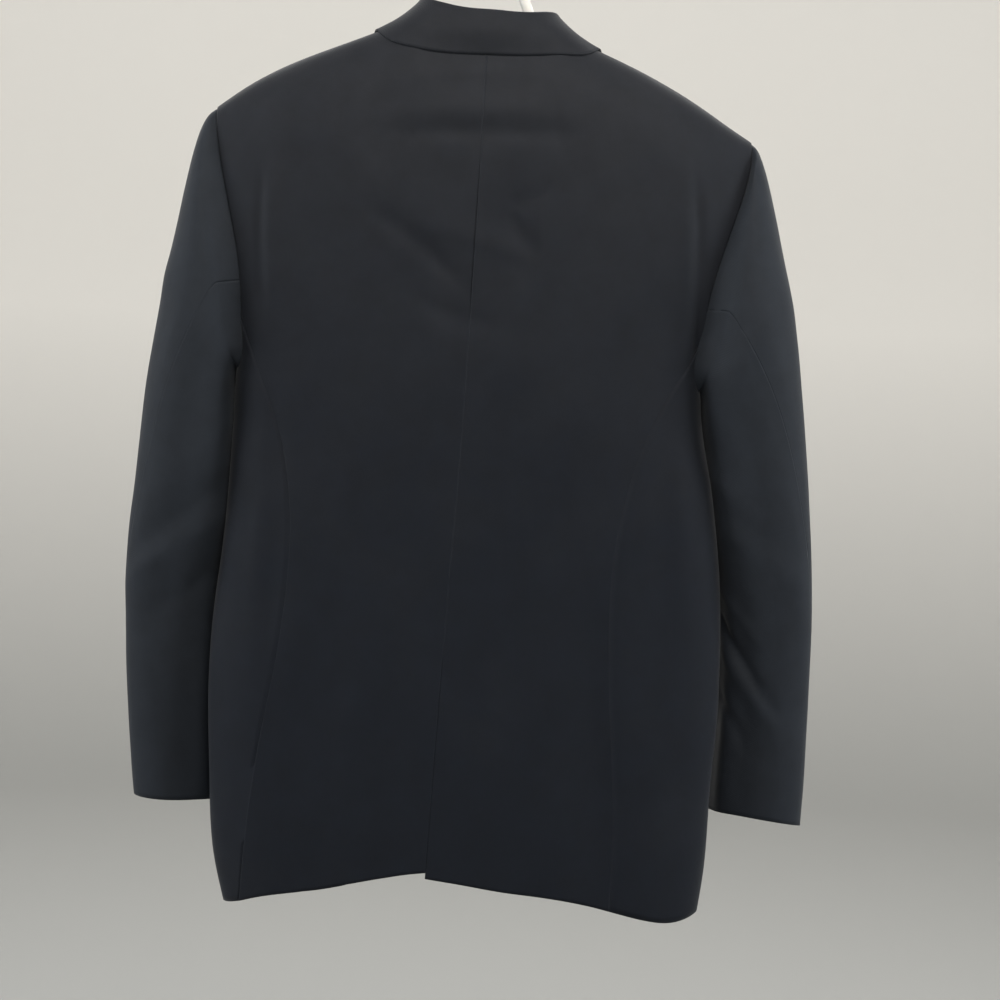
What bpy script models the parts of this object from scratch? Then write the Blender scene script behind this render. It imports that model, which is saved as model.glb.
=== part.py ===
# A man's suit jacket that hangs on a plain plastic hanger.
# +Z is up, the back faces +Y, and the wearer's left is +X. The origin is the inside of the
# hook's crest. Sizes are in millimetres until a mesh is made.

import bisect
import functools
import math

import bmesh
import bpy
import numpy as np
from mathutils import Vector

MM = 0.001

# Cloth and seams
CLOTH = 2.0
SEAM_GAP = 0.5
LAY_GAP = 0.7

# Outline of the body, seen from behind
ROUNDNESS = 3.0
BODY_COLUMNS = ("z", "left", "right", "back", "front", "centre")
BODY_TABLE = (
    (-118, 236, 222, 50, 44, 0),
    (-180, 236, 222, 57, 52, 1),
    (-260, 236, 222, 60, 62, 3),
    (-350, 236, 222, 60, 66, 6),
    (-440, 230, 217, 58, 65, 9),
    (-530, 227, 225, 55, 61, 13),
    (-600, 232, 234, 54, 60, 17),
    (-660, 239, 237, 55, 61, 20),
    (-740, 240, 237, 57, 62, 24),
    (-830, 239, 235, 58, 62, 28),
    (-880, 234, 233, 58, 61, 30),
    (-930, 221, 226, 57, 59, 32),
)

# Shoulder line and armhole, for each side
SHOULDER_COLUMNS = ("x", "left", "right")
SHOULDER_TABLE = (
    (0, -84, -94),
    (72, -88, -98),
    (110, -102, -113),
    (140, -114, -126),
    (170, -126, -141),
    (200, -140, -158),
    (230, -158, -178),
    (254, -176, -193),
)
ARMHOLE_COLUMNS = ("drop", "left", "right")
ARMHOLE_TABLE = (
    (0, 254, 253),
    (30, 250, 251),
    (70, 242, 240),
    (110, 232, 226),
    (150, 224, 216),
    (190, 221, 210),
    (230, 222, 208),
    (262, 225, 210),
)
ARMHOLE_HEIGHT = {"left": 258.0, "right": 252.0}
JOINT_ANGLE = 125.0
SHOULDER_LEAN = 0.35
UNDERARM_LEAN = 0.65
LEAN_SPREAD = 0.34
LEAN_HOLD = (1.0, 0.6, 0.25)
SEAM_LEAD = 60.0
UNDERARM_LEAD = 90.0

# Neckline at the back and the front
NECK_HALF = 72.0
NECK_BACK_Y = 44.0
NECK_SIDE_Y = 2.0
NECK_BACK_Z = -118.0
NECK_TILT = 50.0
NECK_SQUARE = 2.4
NECK_RISE = 3.0
YOKE_DROP_BACK = 60.0
YOKE_DROP_FRONT = 82.0

# Distance of the side back seam from the centre back, by height, and of the side front seam
BACK_SEAM_COLUMNS = ("z", "out")
BACK_SEAM_TABLE = (
    (-385, 216),
    (-420, 196),
    (-470, 172),
    (-540, 154),
    (-620, 149),
    (-680, 152),
    (-750, 160),
    (-820, 168),
    (-930, 172),
)
FRONT_SEAM_COLUMNS = ("z", "left", "right")
FRONT_SEAM_TABLE = (
    (-385, 221, 210),
    (-440, 208, 197),
    (-530, 198, 195),
    (-640, 206, 203),
    (-830, 208, 204),
    (-930, 200, 196),
)

# Hem of the back, by distance from the photo's centre, and of the sides and fronts
HEM_COLUMNS = ("x", "z")
HEM_LEFT_TABLE = (
    (25, -884),
    (45, -886),
    (72, -891),
    (113, -900),
    (140, -906),
    (183, -914),
    (213, -923),
    (240, -926),
)
HEM_RIGHT_TABLE = (
    (-240, -908),
    (-225, -918),
    (-209, -926),
    (-195, -928),
    (-165, -922),
    (-123, -911),
    (-81, -904),
    (-39, -900),
    (2, -894),
    (40, -889),
)
HEM_FRONT_TABLE = ((100, -920), (150, -928), (200, -927), (240, -923))
HEM_GUESS = -922.0
HEM_BOW = 4.0

# Front edge: roll line of the lapel down to the break, straight edge, rounded cutaway
FRONT_EDGE_COLUMNS = ("way", "x", "z")
FRONT_EDGE_TABLE = (
    (0.00, 4, -390),
    (0.25, -20, -522),
    (0.43, -20, -622),
    (0.52, -19, -674),
    (0.61, -15, -724),
    (0.69, -8, -770),
    (0.77, 4, -814),
    (0.84, 20, -850),
    (0.90, 42, -883),
    (0.95, 70, -904),
    (1.00, 108, -920),
)
OVER_REACH = 62.0
OVER_RAMP = 36.0

# Samples across and down the panels
ROUND_STEPS = 5
YOKE_STEPS = 4
WAYS_DOWN = (0, 0.08, 0.16, 0.25, 0.34, 0.43, 0.52, 0.61, 0.69, 0.77, 0.84, 0.90, 0.95, 1)
UNDERARM_STEPS = 8
BACK_ACROSS = (0, 0.07, 0.14, 0.21, 0.26, 0.2835, 0.36, 0.45, 0.54, 0.63, 0.72, 0.81, 0.89, 0.95, 1)
FRONT_ACROSS = (0, 0.08, 0.17, 0.27, 0.37, 0.47, 0.57, 0.67, 0.77, 0.86, 0.94, 1)

# Soft folds of the back and of the sleeves: each a ridge or a trough between two points
FOLD_COLUMNS = ("x0", "z0", "x1", "z1", "width", "height")
FOLD_TABLE = (
    (100, -178, -125, -177, 11, 3.0),
    (92, -195, -128, -194, 9, -3.0),
    (104, -266, 4, -332, 15, -4.0),
    (112, -240, 22, -306, 18, 3.0),
    (-84, -222, -16, -298, 14, -3.0),
    (-100, -244, -34, -318, 17, 2.5),
    (58, -240, -38, -300, 12, -2.5),
    (204, -235, 212, -470, 13, 5.0),
    (-190, -215, -196, -330, 12, 5.0),
    (-196, -310, -204, -520, 13, 4.5),
    (168, -560, 204, -905, 20, 3.0),
    (-112, -620, -128, -900, 16, -3.0),
    (-178, -600, -186, -900, 26, 4.0),
    (96, -640, 118, -895, 26, 2.5),
)
SLEEVE_FOLD_TABLES = {
    "left": (
        (246, -560, 306, -596, 12, -3),
        (250, -626, 300, -650, 13, -3),
    ),
    "right": (
        (240, -618, 296, -692, 9, -5),
        (246, -652, 290, -716, 10, 3),
        (252, -560, 300, -596, 12, -3),
    ),
}
FOLD_RAMP = 0.4
FOLD_BEYOND = 0.15
FOLD_HELD_FROM = 2.0
FOLD_FREE_FROM = 2.3

# Sleeves, ring by ring: outer and inner edge, place and half of the depth, turn about the vertical
SLEEVE_COLUMNS = ("row", "outer_x", "outer_z", "inner_x", "inner_z", "middle_y", "half_depth", "turn")
SLEEVE_TABLES = {
    "left": (
        (1, 260, -180, 229, -430, 0, 47, 0),
        (2, 266.5, -190, 231, -426, -1, 52, 0),
        (3, 272, -208, 232.5, -428, -2, 58, 1),
        (4, 278, -236, 233, -434, -4, 63, 2),
        (5, 284, -274, 233, -443, -7, 67, 4),
        (6, 291, -318, 232.5, -454, -10, 70, 6),
        (7, 297, -368, 232, -470, -13, 71, 9),
        (8, 304, -420, 231, -494, -16, 71, 12),
        (9, 308, -472, 230.5, -524, -18, 70, 15),
        (10, 312, -522, 232.5, -556, -20, 68, 18),
        (11, 315, -568, 237, -588, -22, 66, 21),
        (12, 315, -612, 243, -622, -25, 64, 24),
        (13, 312, -656, 245, -660, -28, 62, 27),
        (14, 310.5, -704, 243, -704, -31, 60, 30),
        (15, 308, -752, 239, -750, -34, 59, 32),
        (16, 304, -796, 236, -794, -37, 58, 34),
        (17, 301, -829, 234, -834, -39, 57, 35),
    ),
    "right": (
        (1, 258, -196, 215, -438, 0, 47, 0),
        (2, 263, -206, 217, -434, -1, 52, 0),
        (3, 269, -224, 218.5, -436, -2, 58, 1),
        (4, 276, -252, 219.5, -442, -4, 63, 2),
        (5, 284, -288, 220, -451, -7, 67, 4),
        (6, 292, -330, 221, -462, -10, 70, 6),
        (7, 299.5, -378, 222.5, -478, -13, 71, 9),
        (8, 305, -428, 225.5, -500, -16, 71, 12),
        (9, 309, -478, 229, -530, -18, 70, 15),
        (10, 312, -526, 234, -560, -20, 68, 17),
        (11, 315, -572, 240, -592, -22, 66, 19),
        (12, 317, -616, 246, -626, -25, 64, 21),
        (13, 317, -660, 248, -664, -28, 62, 24),
        (14, 316, -708, 247, -708, -31, 60, 27),
        (15, 315, -756, 245, -754, -34, 59, 30),
        (16, 315, -804, 243, -794, -37, 58, 32),
        (17, 316, -842, 241, -830, -39, 57, 33),
    ),
}
SLEEVE_ROUNDNESS = 2.2
ELBOW_ANGLE = 107.5
INSEAM_ANGLE = -90.0
SLEEVE_TWIST = 62.0
TWIST_FROM = 2
TWIST_ROWS = 14

# Collar, station by station from the centre back to the notch, for the left half
COLLAR_COLUMNS = ("way", "roll_x", "roll_y", "roll_z", "edge_x", "edge_y", "edge_z", "bulge")
COLLAR_TABLE = (
    (0.00, 0, 46, -86, 0, 55, -129, 3),
    (0.12, 17, 44, -85, 30, 54, -128.5, 3),
    (0.24, 35, 38, -81, 60, 50, -126, 2.5),
    (0.36, 52, 27, -74, 86, 38, -117, 1),
    (0.46, 62, 12, -68, 100, 22, -109, -1.5),
    (0.56, 66, -4, -69, 106, 2, -105, -2.5),
    (0.66, 65, -19, -78, 110, -20, -110, -1.5),
    (0.76, 62, -31, -91, 114, -38, -121, 0),
    (0.86, 59, -40, -107, 115, -50, -138, 1),
    (0.93, 56, -46, -121, 104, -58, -154, 1.5),
    (1.00, 54, -51, -136, 91, -63, -170, 1.5),
)
COLLAR_ROLL = 3.2
COLLAR_GAP = 1.5
DROOP = 10.0
DROOP_FROM = 60.0
DROOP_REACH = 45.0
BULGE_UP = 0.6
EDGE_OVER = (0.4, 0.8)
NECK_WAY = 0.5
GORGE_DOWN = 0.78
STAND_INSET = 0.5
STAND_LIFT = 0.5
STAND_SHARE = 0.34
FALL_SHARE = 0.52
COLLAR_WAYS = (0, 0.08, 0.16, 0.24, 0.32, 0.4, 0.48, 0.56, 0.64, 0.72, 0.8, 0.87, 0.93, 1)
COLLAR_SHARES = (0, 0.17, 0.34, 0.385, 0.43, 0.475, 0.52, 0.64, 0.76, 0.88, 1)

# Lapels, flaps and welt, in each side's own distance from the centre
LAPEL_COLUMNS = ("way", "roll_x", "roll_z", "edge_x", "edge_z")
LAPEL_TABLE = (
    (0.00, 57, -147, 139, -193),
    (0.08, 52, -166, 133, -215),
    (0.20, 44, -205, 121, -256),
    (0.35, 34, -250, 104, -306),
    (0.50, 25, -296, 86, -356),
    (0.65, 15, -344, 64, -406),
    (0.80, 4, -396, 37, -452),
    (0.92, -7, -450, 10, -490),
    (1.00, -16, -500, -10, -514),
)
LAPEL_DOWN = 15
LAPEL_ACROSS = (0.02, 0.14, 0.3, 0.48, 0.66, 0.84, 1.0)
LAPEL_ROLL = 3.0
LAPEL_GAP = 1.2
GORGE_DIP = 10.0
GORGE_REACH = 0.2
LAPEL_FLAT_FROM = 0.45
FLAP = {"inner": 74.0, "outer": 194.0, "top": -652.0, "height": 52.0, "slope": 6.0, "steps": 8}
WELT = {"inner": 126.0, "outer": 208.0, "top": -322.0, "height": 24.0, "slope": -9.0, "steps": 5}
FLAP_ROWS = ((0, 0), (0.35, 0), (0.7, 0), (0.9, 2.5), (1, 8))
WELT_ROWS = (0, 0.5, 1)
OVER_COLUMNS = ("z", "over")
OVER_TABLE = ((-320, 0), (-400, 7.6), (-530, 7.2), (-600, 3.8), (-680, 3.4), (-760, 3.4), (-930, 3.4))

# Buttons
FRONT_BUTTON_HEIGHTS = {"button_upper": -548.0, "button_lower": -648.0}
FRONT_BUTTON_RADIUS = 10.0
CUFF_BUTTON_RADIUS = 7.0
CUFF_BUTTON_ROWS = (15.4, 15.85, 16.3)
CUFF_BUTTON_ANGLE = 73.0
BUTTON_PROFILE = (
    (0, 1.0), (0.62, 1.0), (0.72, 1.6), (0.86, 1.8), (0.97, 1.3), (1.0, 0.6), (0.9, 0), (0, 0),
)
BUTTON_SIDES = 16
BUTTON_UNIT = 5.0
BUTTON_GAP = 0.4

# Hanger: hook, neck, arms under the shoulders and the bar between their ends
TUBE = 5.5
HOOK_INSIDE = 20.0
HANGER_ENDS = {"left": 172.0, "right": 238.0}
HANGER_NECK = (-44.0, -97.0)
HANGER_UNDER = 9.5
BAR_DROP = 84.0
HANGER_KNEES = {"left": 88.0, "right": 92.0, "right_outer": 150.0}
HANGER_BENDS = (30, 60, 9, 14, 14, 9, 90, 60)
BEND_STEPS = 5
BAR_INSET = 6.0
BAR_SLOPE = 0.62
HOOK_TIP = -25.0
HOOK_STEPS = 14
STEM_STRAIGHT = 16.0
STEM_STEPS = 10
TUBE_SIDES = 2

# Small steps, and the search for a place on a panel
SLOPE_STEP = 1e-3
LOCATE_STEP = 1e-4
LOCATE_TURNS = 14
LOCATE_REACH = 0.2
LOCATE_FROM = (-0.2, 0.02)
LOCATE_TO = (1.0, 2.98)
CORE_SHARE = 0.6
CORE_DROP = 25.0
SHARP_ANGLE = 50.0

SIGN = {"left": 1.0, "right": -1.0}
NAVY = (0.026, 0.029, 0.036)
BUTTON_NAVY = (0.012, 0.013, 0.017)
WHITE = (0.80, 0.79, 0.77)


# Reading the tables

@functools.lru_cache(maxsize=None)
def curve(table, names, name):
    """Places, values and slopes of one named column, in rising order of the first."""
    column = names.index(name)
    rows = sorted((row[0], row[column]) for row in table)
    places = [row[0] for row in rows]
    values = [row[1] for row in rows]
    slopes = list(np.gradient(np.array(values, float), np.array(places, float)))
    return places, values, slopes


def look(table, names, name, at):
    """One named column of a table, read smoothly between its rows."""
    places, values, slopes = curve(table, names, name)
    at = min(max(at, places[0]), places[-1])
    low = min(bisect.bisect_right(places, at) - 1, len(places) - 2)
    span = places[low + 1] - places[low]
    t = (at - places[low]) / span
    return (
        (1 + 2 * t) * (1 - t) ** 2 * values[low]
        + t * (1 - t) ** 2 * span * slopes[low]
        + t * t * (3 - 2 * t) * values[low + 1]
        + t * t * (t - 1) * span * slopes[low + 1]
    )


def ease(t):
    t = min(max(t, 0.0), 1.0)
    return t * t * (3 - 2 * t)


def swell(share):
    """The depth left at a share of the half width, on a rounded flat oval."""
    return (1 - min(abs(share), 0.9999) ** ROUNDNESS) ** (1 / ROUNDNESS)


# The body's form

def centre_line(side, z):
    return SIGN[side] * look(BODY_TABLE, BODY_COLUMNS, "centre", z)


def half_width(side, z):
    return look(BODY_TABLE, BODY_COLUMNS, side, z)


def oval_depth(side, out, z, face):
    return look(BODY_TABLE, BODY_COLUMNS, face, z) * swell(out / half_width(side, z))


def shoulder_z(side, out):
    return look(SHOULDER_TABLE, SHOULDER_COLUMNS, side, out)


def armhole_drop(side, angle):
    return ARMHOLE_HEIGHT[side] / 2 * (1 - math.cos(math.radians(angle)))


def armhole_z(side, angle):
    return shoulder_z(side, armhole_out(side, 0)) - armhole_drop(side, angle)


def armhole_out(side, angle):
    return look(ARMHOLE_TABLE, ARMHOLE_COLUMNS, side, armhole_drop(side, angle))


@functools.lru_cache(maxsize=None)
def armhole_half(side, face):
    """Half of the armhole's depth, so that it meets the oval where the side panel starts."""
    depth = oval_depth(side, armhole_out(side, JOINT_ANGLE), armhole_z(side, JOINT_ANGLE), face)
    return depth / math.sin(math.radians(JOINT_ANGLE))


def armhole(side, angle):
    """A point of the armhole: 0 at the shoulder, 90 at the back, 180 under the arm."""
    turn = math.sin(math.radians(angle))
    half = armhole_half(side, "back" if turn > 0 else "front")
    return np.array([armhole_out(side, angle), half * turn, armhole_z(side, angle)])


def armhole_lean(angle):
    """The way out of the cloth at the armhole, between the body's and the sleeve's."""
    turn = math.radians(angle)
    aside = SHOULDER_LEAN + UNDERARM_LEAN * max(0.0, -math.cos(turn))
    lean = np.array([aside, math.sin(turn), math.cos(turn)])
    return lean / np.linalg.norm(lean)


def fold_lift(table, x, z):
    """How far the folds of a table lift or sink the cloth at one place."""
    total = 0.0
    for row in table:
        fold = dict(zip(FOLD_COLUMNS, row))
        run_x, run_z = fold["x1"] - fold["x0"], fold["z1"] - fold["z0"]
        length = math.hypot(run_x, run_z)
        along = ((x - fold["x0"]) * run_x + (z - fold["z0"]) * run_z) / length ** 2
        across = ((x - fold["x0"]) * run_z - (z - fold["z0"]) * run_x) / length
        ends = ease((along + FOLD_BEYOND) / FOLD_RAMP) * ease((1 + FOLD_BEYOND - along) / FOLD_RAMP)
        total += fold["height"] * ends * math.exp(-((across / fold["width"]) ** 2))
    return total


def hem_z(side, out, face):
    if face == "front":
        return look(HEM_FRONT_TABLE, HEM_COLUMNS, "z", out)
    table = HEM_LEFT_TABLE if side == "left" else HEM_RIGHT_TABLE
    return look(table, HEM_COLUMNS, "z", SIGN[side] * out)


def plain_seam(side, z, face):
    if face == "front":
        return look(FRONT_SEAM_TABLE, FRONT_SEAM_COLUMNS, side, z)
    return centre_line(side, z) + look(BACK_SEAM_TABLE, BACK_SEAM_COLUMNS, "out", z)


def seam_out(side, z, face):
    """How far out the side panel's seam runs, led into the armhole at its top."""
    joint = armhole_z(side, JOINT_ANGLE)
    miss = armhole_out(side, JOINT_ANGLE) - plain_seam(side, joint, face)
    return plain_seam(side, z, face) + miss * ease((z - joint + SEAM_LEAD) / SEAM_LEAD)


@functools.lru_cache(maxsize=None)
def seam_hem(side, face):
    """Height of the hem where the side panel's seam meets it."""
    return hem_z(side, seam_out(side, HEM_GUESS, face), face)


def outer_edge(side, down, face):
    """The edge of a back or front: armhole to 2, then the side seam to 3."""
    facing = 1 if face == "back" else -1
    if down <= 1:
        return armhole(side, facing * 90 * down)
    if down <= 2:
        return armhole(side, facing * (90 + (JOINT_ANGLE - 90) * (down - 1)))
    joint = armhole_z(side, JOINT_ANGLE)
    z = joint + (seam_hem(side, face) - joint) * (down - 2)
    out = seam_out(side, z, face)
    return np.array([out, facing * oval_depth(side, out, z, face), z])


def flat_depth(side, out, edge, z, down, face):
    """Depth of a back or front: full in the middle, the edge's own at the edge."""
    if down < 1:
        full_edge = outer_edge(side, 1, face)
        out *= full_edge[0] / edge[0]
        edge = full_edge
    if down < 2:
        joint_share = half_width(side, armhole_z(side, JOINT_ANGLE)) / armhole_out(side, JOINT_ANGLE)
        half = edge[0] * joint_share
    else:
        half = half_width(side, z)
    at_edge = swell(edge[0] / half)
    share = (swell(out / half) - at_edge) / (1 - at_edge)
    middle = look(BODY_TABLE, BODY_COLUMNS, face, z)
    return abs(edge[1]) + (middle - abs(edge[1])) * share


def yoke_share(side, down):
    """How far a row between the armhole's middle and the side seam has come down."""
    facing = 90 + (JOINT_ANGLE - 90) * (down - 1)
    start, end = armhole_z(side, 90), armhole_z(side, JOINT_ANGLE)
    return (armhole_z(side, facing) - start) / (end - start)


def neckline(side, out):
    share = min(max(out / NECK_HALF, 0.0), 1.0)
    rise = shoulder_z(side, NECK_HALF) - NECK_BACK_Z
    depth = NECK_SIDE_Y + (NECK_BACK_Y - NECK_SIDE_Y) * math.sqrt(1 - share ** NECK_SQUARE)
    return depth, NECK_BACK_Z + rise * share ** NECK_RISE


def top_depth(side, out):
    reach = armhole_out(side, 0)
    return NECK_SIDE_Y * (reach - out) / (reach - NECK_HALF)


def turned(start, down):
    """Shares of the drop and of the depth reached while the cloth turns over the shoulder."""
    turn = start + (math.pi / 2 - start) * min(down, 1.0)
    fall = (math.cos(start) - math.cos(turn)) / math.cos(start)
    return fall, (math.sin(turn) - math.sin(start)) / (1 - math.sin(start))


def back(side, across, down):
    """A point of the back: across 0 at the centre seam, down 0 at the top and 3 at the hem."""
    top_out = armhole_out(side, 0) * across
    start = 0.0
    if top_out < NECK_HALF:
        top_y, top_z = neckline(side, top_out)
        start = math.radians(NECK_TILT) * (1 - (top_out / NECK_HALF) ** 2)
    else:
        top_y, top_z = top_depth(side, top_out), shoulder_z(side, top_out)
    fall, depth = turned(start, down)
    drop = YOKE_DROP_BACK + (ARMHOLE_HEIGHT[side] / 2 - YOKE_DROP_BACK) * across ** 2
    joint = armhole_z(side, JOINT_ANGLE)
    edge = outer_edge(side, down, "back")
    z = top_z - drop * fall
    if down > 2:
        hem_middle = centre_line(side, HEM_GUESS)
        hem_out = hem_middle + (seam_out(side, HEM_GUESS, "back") - hem_middle) * across
        z = joint + (hem_z(side, hem_out, "back") - joint) * (down - 2)
    elif down > 1:
        z += (joint - z) * yoke_share(side, down)
    middle = centre_line(side, z)
    out = middle + (edge[0] - middle) * across
    flat = flat_depth(side, out, edge, z, down, "back")
    held = 1 - across ** 4 * ease((FOLD_FREE_FROM - down) / (FOLD_FREE_FROM - FOLD_HELD_FROM))
    y = top_y + (flat - top_y) * depth
    y += fold_lift(FOLD_TABLE, SIGN[side] * out, z) * held * depth
    return np.array([out, y, z])


def front_edge(side, down):
    """The roll line of the lapel, then the front's own edge and its rounded corner."""
    start = shoulder_z(side, NECK_HALF)
    end_out, end_z = FRONT_EDGE_TABLE[0][1:]
    if down > 2:
        return [look(FRONT_EDGE_TABLE, FRONT_EDGE_COLUMNS, name, down - 2) for name in ("x", "z")]
    z = start - YOKE_DROP_FRONT * (1 - math.cos(math.radians(90 * min(down, 1.0))))
    if down > 1:
        z += (end_z - z) * yoke_share(side, down)
    return NECK_HALF + (end_out - NECK_HALF) * (z - start) / (end_z - start), z


def front(side, across, down):
    """A point of the front: across 0 at the roll line or front edge, down 0 at the shoulder."""
    top_out = NECK_HALF + (armhole_out(side, 0) - NECK_HALF) * across
    top_y, top_z = top_depth(side, top_out), shoulder_z(side, top_out)
    fall, depth = turned(0.0, down)
    drop = YOKE_DROP_FRONT + (ARMHOLE_HEIGHT[side] / 2 - YOKE_DROP_FRONT) * across ** 2
    edge = outer_edge(side, down, "front")
    inner_out, inner_z = front_edge(side, down)
    z = top_z - drop * fall
    if down > 2:
        z = inner_z + (edge[2] - inner_z) * across
        z -= HEM_BOW * math.sin(math.pi * across) * ease(down * 4 - 11)
    elif down > 1:
        inner_end = FRONT_EDGE_TABLE[0][2]
        target = inner_end + (armhole_z(side, JOINT_ANGLE) - inner_end) * across
        z += (target - z) * yoke_share(side, down)
    out = inner_out + (edge[0] - inner_out) * across
    y = top_y - (flat_depth(side, out, edge, z, down, "front") + top_y) * depth
    if side == "left":
        over = look(OVER_TABLE, OVER_COLUMNS, "over", z)
        y -= over * ease((OVER_REACH - out) / OVER_RAMP)
    return np.array([out, y, z])


def side_oval(side, across, z):
    """The oval between the two seams of the side panel, at one height."""
    half = half_width(side, z)
    tilts = [
        math.asin((seam_out(side, z, face) / half) ** (ROUNDNESS / 2))
        for face in ("back", "front")
    ]
    tilt = tilts[0] + (math.pi - tilts[1] - tilts[0]) * across
    depth = look(BODY_TABLE, BODY_COLUMNS, "back" if math.cos(tilt) > 0 else "front", z)
    out = half * math.sin(tilt) ** (2 / ROUNDNESS)
    y = math.copysign(depth * abs(math.cos(tilt)) ** (2 / ROUNDNESS), math.cos(tilt))
    return np.array([out, y, z])


def side_panel(side, across, way):
    """A point of the panel under the arm: across 0 at the back seam, way 0 at the armhole."""
    under = armhole(side, JOINT_ANGLE + (360 - 2 * JOINT_ANGLE) * across)
    hem_out = side_oval(side, across, HEM_GUESS)[0]
    forward = ease((across - 0.4) / 0.5)
    hem = hem_z(side, hem_out, "back") * (1 - forward) + hem_z(side, hem_out, "front") * forward
    z = under[2] + (hem - under[2]) * way
    point = side_oval(side, across, z)
    miss = under - side_oval(side, across, under[2])
    point += miss * ease(1 - (under[2] - z) / UNDERARM_LEAD)
    lift = fold_lift(FOLD_TABLE, SIGN[side] * point[0], z) * ease(way / 0.3) * ease(1 - across * 2.2)
    return point + np.array([0, lift, 0])


# The sleeves' form

def sleeve_ring(side, angle, row):
    """A point of the sleeve's ring: 0 at its outer edge, 90 at the back, 180 at its inner edge."""
    read = functools.partial(look, SLEEVE_TABLES[side], SLEEVE_COLUMNS)
    outer = np.array([read("outer_x", row), read("outer_z", row)])
    inner = np.array([read("inner_x", row), read("inner_z", row)])
    ring_angle = math.radians(angle - SLEEVE_TWIST * ease((row - TWIST_FROM) / TWIST_ROWS))
    along, aside = math.cos(ring_angle), math.sin(ring_angle)
    along = math.copysign(abs(along) ** (2 / SLEEVE_ROUNDNESS), along)
    aside = math.copysign(abs(aside) ** (2 / SLEEVE_ROUNDNESS), aside) * read("half_depth", row)
    out, z = (outer + inner) / 2 + (outer - inner) / 2 * along
    middle = (outer[0] + inner[0]) / 2
    turn = math.radians(read("turn", row))
    out -= middle
    return np.array([
        middle + out * math.cos(turn) + aside * math.sin(turn),
        read("middle_y", row) - out * math.sin(turn) + aside * math.cos(turn),
        z,
    ])


def sleeve(side, angle, row):
    """A point of the sleeve: row 0 on the armhole, the last row at the cuff."""
    if row <= 0:
        return armhole(side, angle)
    point = sleeve_ring(side, angle, max(row, 1.0))
    if row < 1:
        start = armhole(side, angle)
        return start + (point - start) * row
    if point[1] > 0:
        point[1] += fold_lift(SLEEVE_FOLD_TABLES[side], point[0], point[2]) * ease(point[1] / 30)
    return point


# Making the walls

def facing(surface, side, a, b, span_a, span_b, core):
    """The way out of a surface at one point, from small steps to both sides."""
    step_a, step_b = (span_a[1] - span_a[0]) * SLOPE_STEP, (span_b[1] - span_b[0]) * SLOPE_STEP
    low_a, high_a = max(a - step_a, span_a[0]), min(a + step_a, span_a[1])
    low_b, high_b = max(b - step_b, span_b[0]), min(b + step_b, span_b[1])
    along_a = surface(side, high_a, b) - surface(side, low_a, b)
    along_b = surface(side, a, high_b) - surface(side, a, low_b)
    out = np.cross(along_a, along_b)
    out /= np.linalg.norm(out)
    point = surface(side, a, b)
    return out if out @ (point - core(point)) > 0 else -out


def body_core(point):
    return np.array([point[0] * CORE_SHARE, 0.0, point[2] - CORE_DROP])


def skins(surface, side, across, down, core, leans, span=None):
    """Grids of the outer and the inner points of a panel, drawn back from its seams."""
    outer = np.array([[surface(side, a, b) for a in across] for b in down])
    span = span or (across[0], across[-1])
    out = np.array([
        [facing(surface, side, a, b, span, (down[0], down[-1]), core) for a in across]
        for b in down
    ])
    for i, j, direction, share in leans:
        blend = out[i, j] * (1 - share) + direction * share
        out[i, j] = blend / np.linalg.norm(blend)
    inner = outer - out * CLOTH
    for near, far in ((outer, inner), (outer.swapaxes(0, 1), inner.swapaxes(0, 1))):
        for edge, beside in ((0, 1), (-1, -2)):
            pull = drawn_back(near[edge], near[beside])
            near[edge] += pull
            far[edge] += pull
    return outer, inner


def drawn_back(edge, beside):
    """Steps that take an edge half a seam's gap into its piece, square to the edge."""
    run = np.gradient(edge, axis=0)
    run /= np.linalg.norm(run, axis=1)[:, None]
    step = beside - edge
    step -= run * (step * run).sum(axis=1)[:, None]
    return step * SEAM_GAP / 2 / np.linalg.norm(step, axis=1)[:, None]


def paint(name, colour, roughness):
    """A plain material of one colour."""
    material = bpy.data.materials.get(name) or bpy.data.materials.new(name)
    material.use_nodes = True
    shader = material.node_tree.nodes["Principled BSDF"]
    shader.inputs["Base Color"].default_value = (*colour, 1)
    shader.inputs["Roughness"].default_value = roughness
    shader.inputs["Metallic"].default_value = 0.0
    return material


def place(name, mesh, material, collection, root):
    mesh.materials.append(material)
    obj = bpy.data.objects.new(name, mesh)
    obj.parent = root
    collection.objects.link(obj)
    return obj


def wall_mesh(name, side, outer, inner):
    """A closed wall between two skins, with a rim round its four edges."""
    sign = SIGN[side]
    shape = bmesh.new()
    faces_of = []
    for skin in (outer, inner):
        faces_of.append([
            [shape.verts.new((sign * x * MM, y * MM, z * MM)) for x, y, z in row] for row in skin
        ])
    near, far = faces_of
    rows, columns = len(near), len(near[0])
    for i in range(rows - 1):
        for j in range(columns - 1):
            for skin in faces_of:
                shape.faces.new((skin[i][j], skin[i][j + 1], skin[i + 1][j + 1], skin[i + 1][j]))
    around = [(0, j) for j in range(columns)]
    around += [(i, columns - 1) for i in range(1, rows)]
    around += [(rows - 1, j) for j in range(columns - 2, -1, -1)]
    around += [(i, 0) for i in range(rows - 2, 0, -1)]
    for (i, j), (k, m) in zip(around, around[1:] + around[:1]):
        shape.faces.new((near[i][j], near[k][m], far[k][m], far[i][j]))
    bmesh.ops.recalc_face_normals(shape, faces=shape.faces)
    mesh = bpy.data.meshes.new(name)
    shape.to_mesh(mesh)
    shape.free()
    mesh.shade_smooth()
    mesh.set_sharp_from_angle(angle=math.radians(SHARP_ANGLE))
    return mesh


# Pieces of cloth

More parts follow.
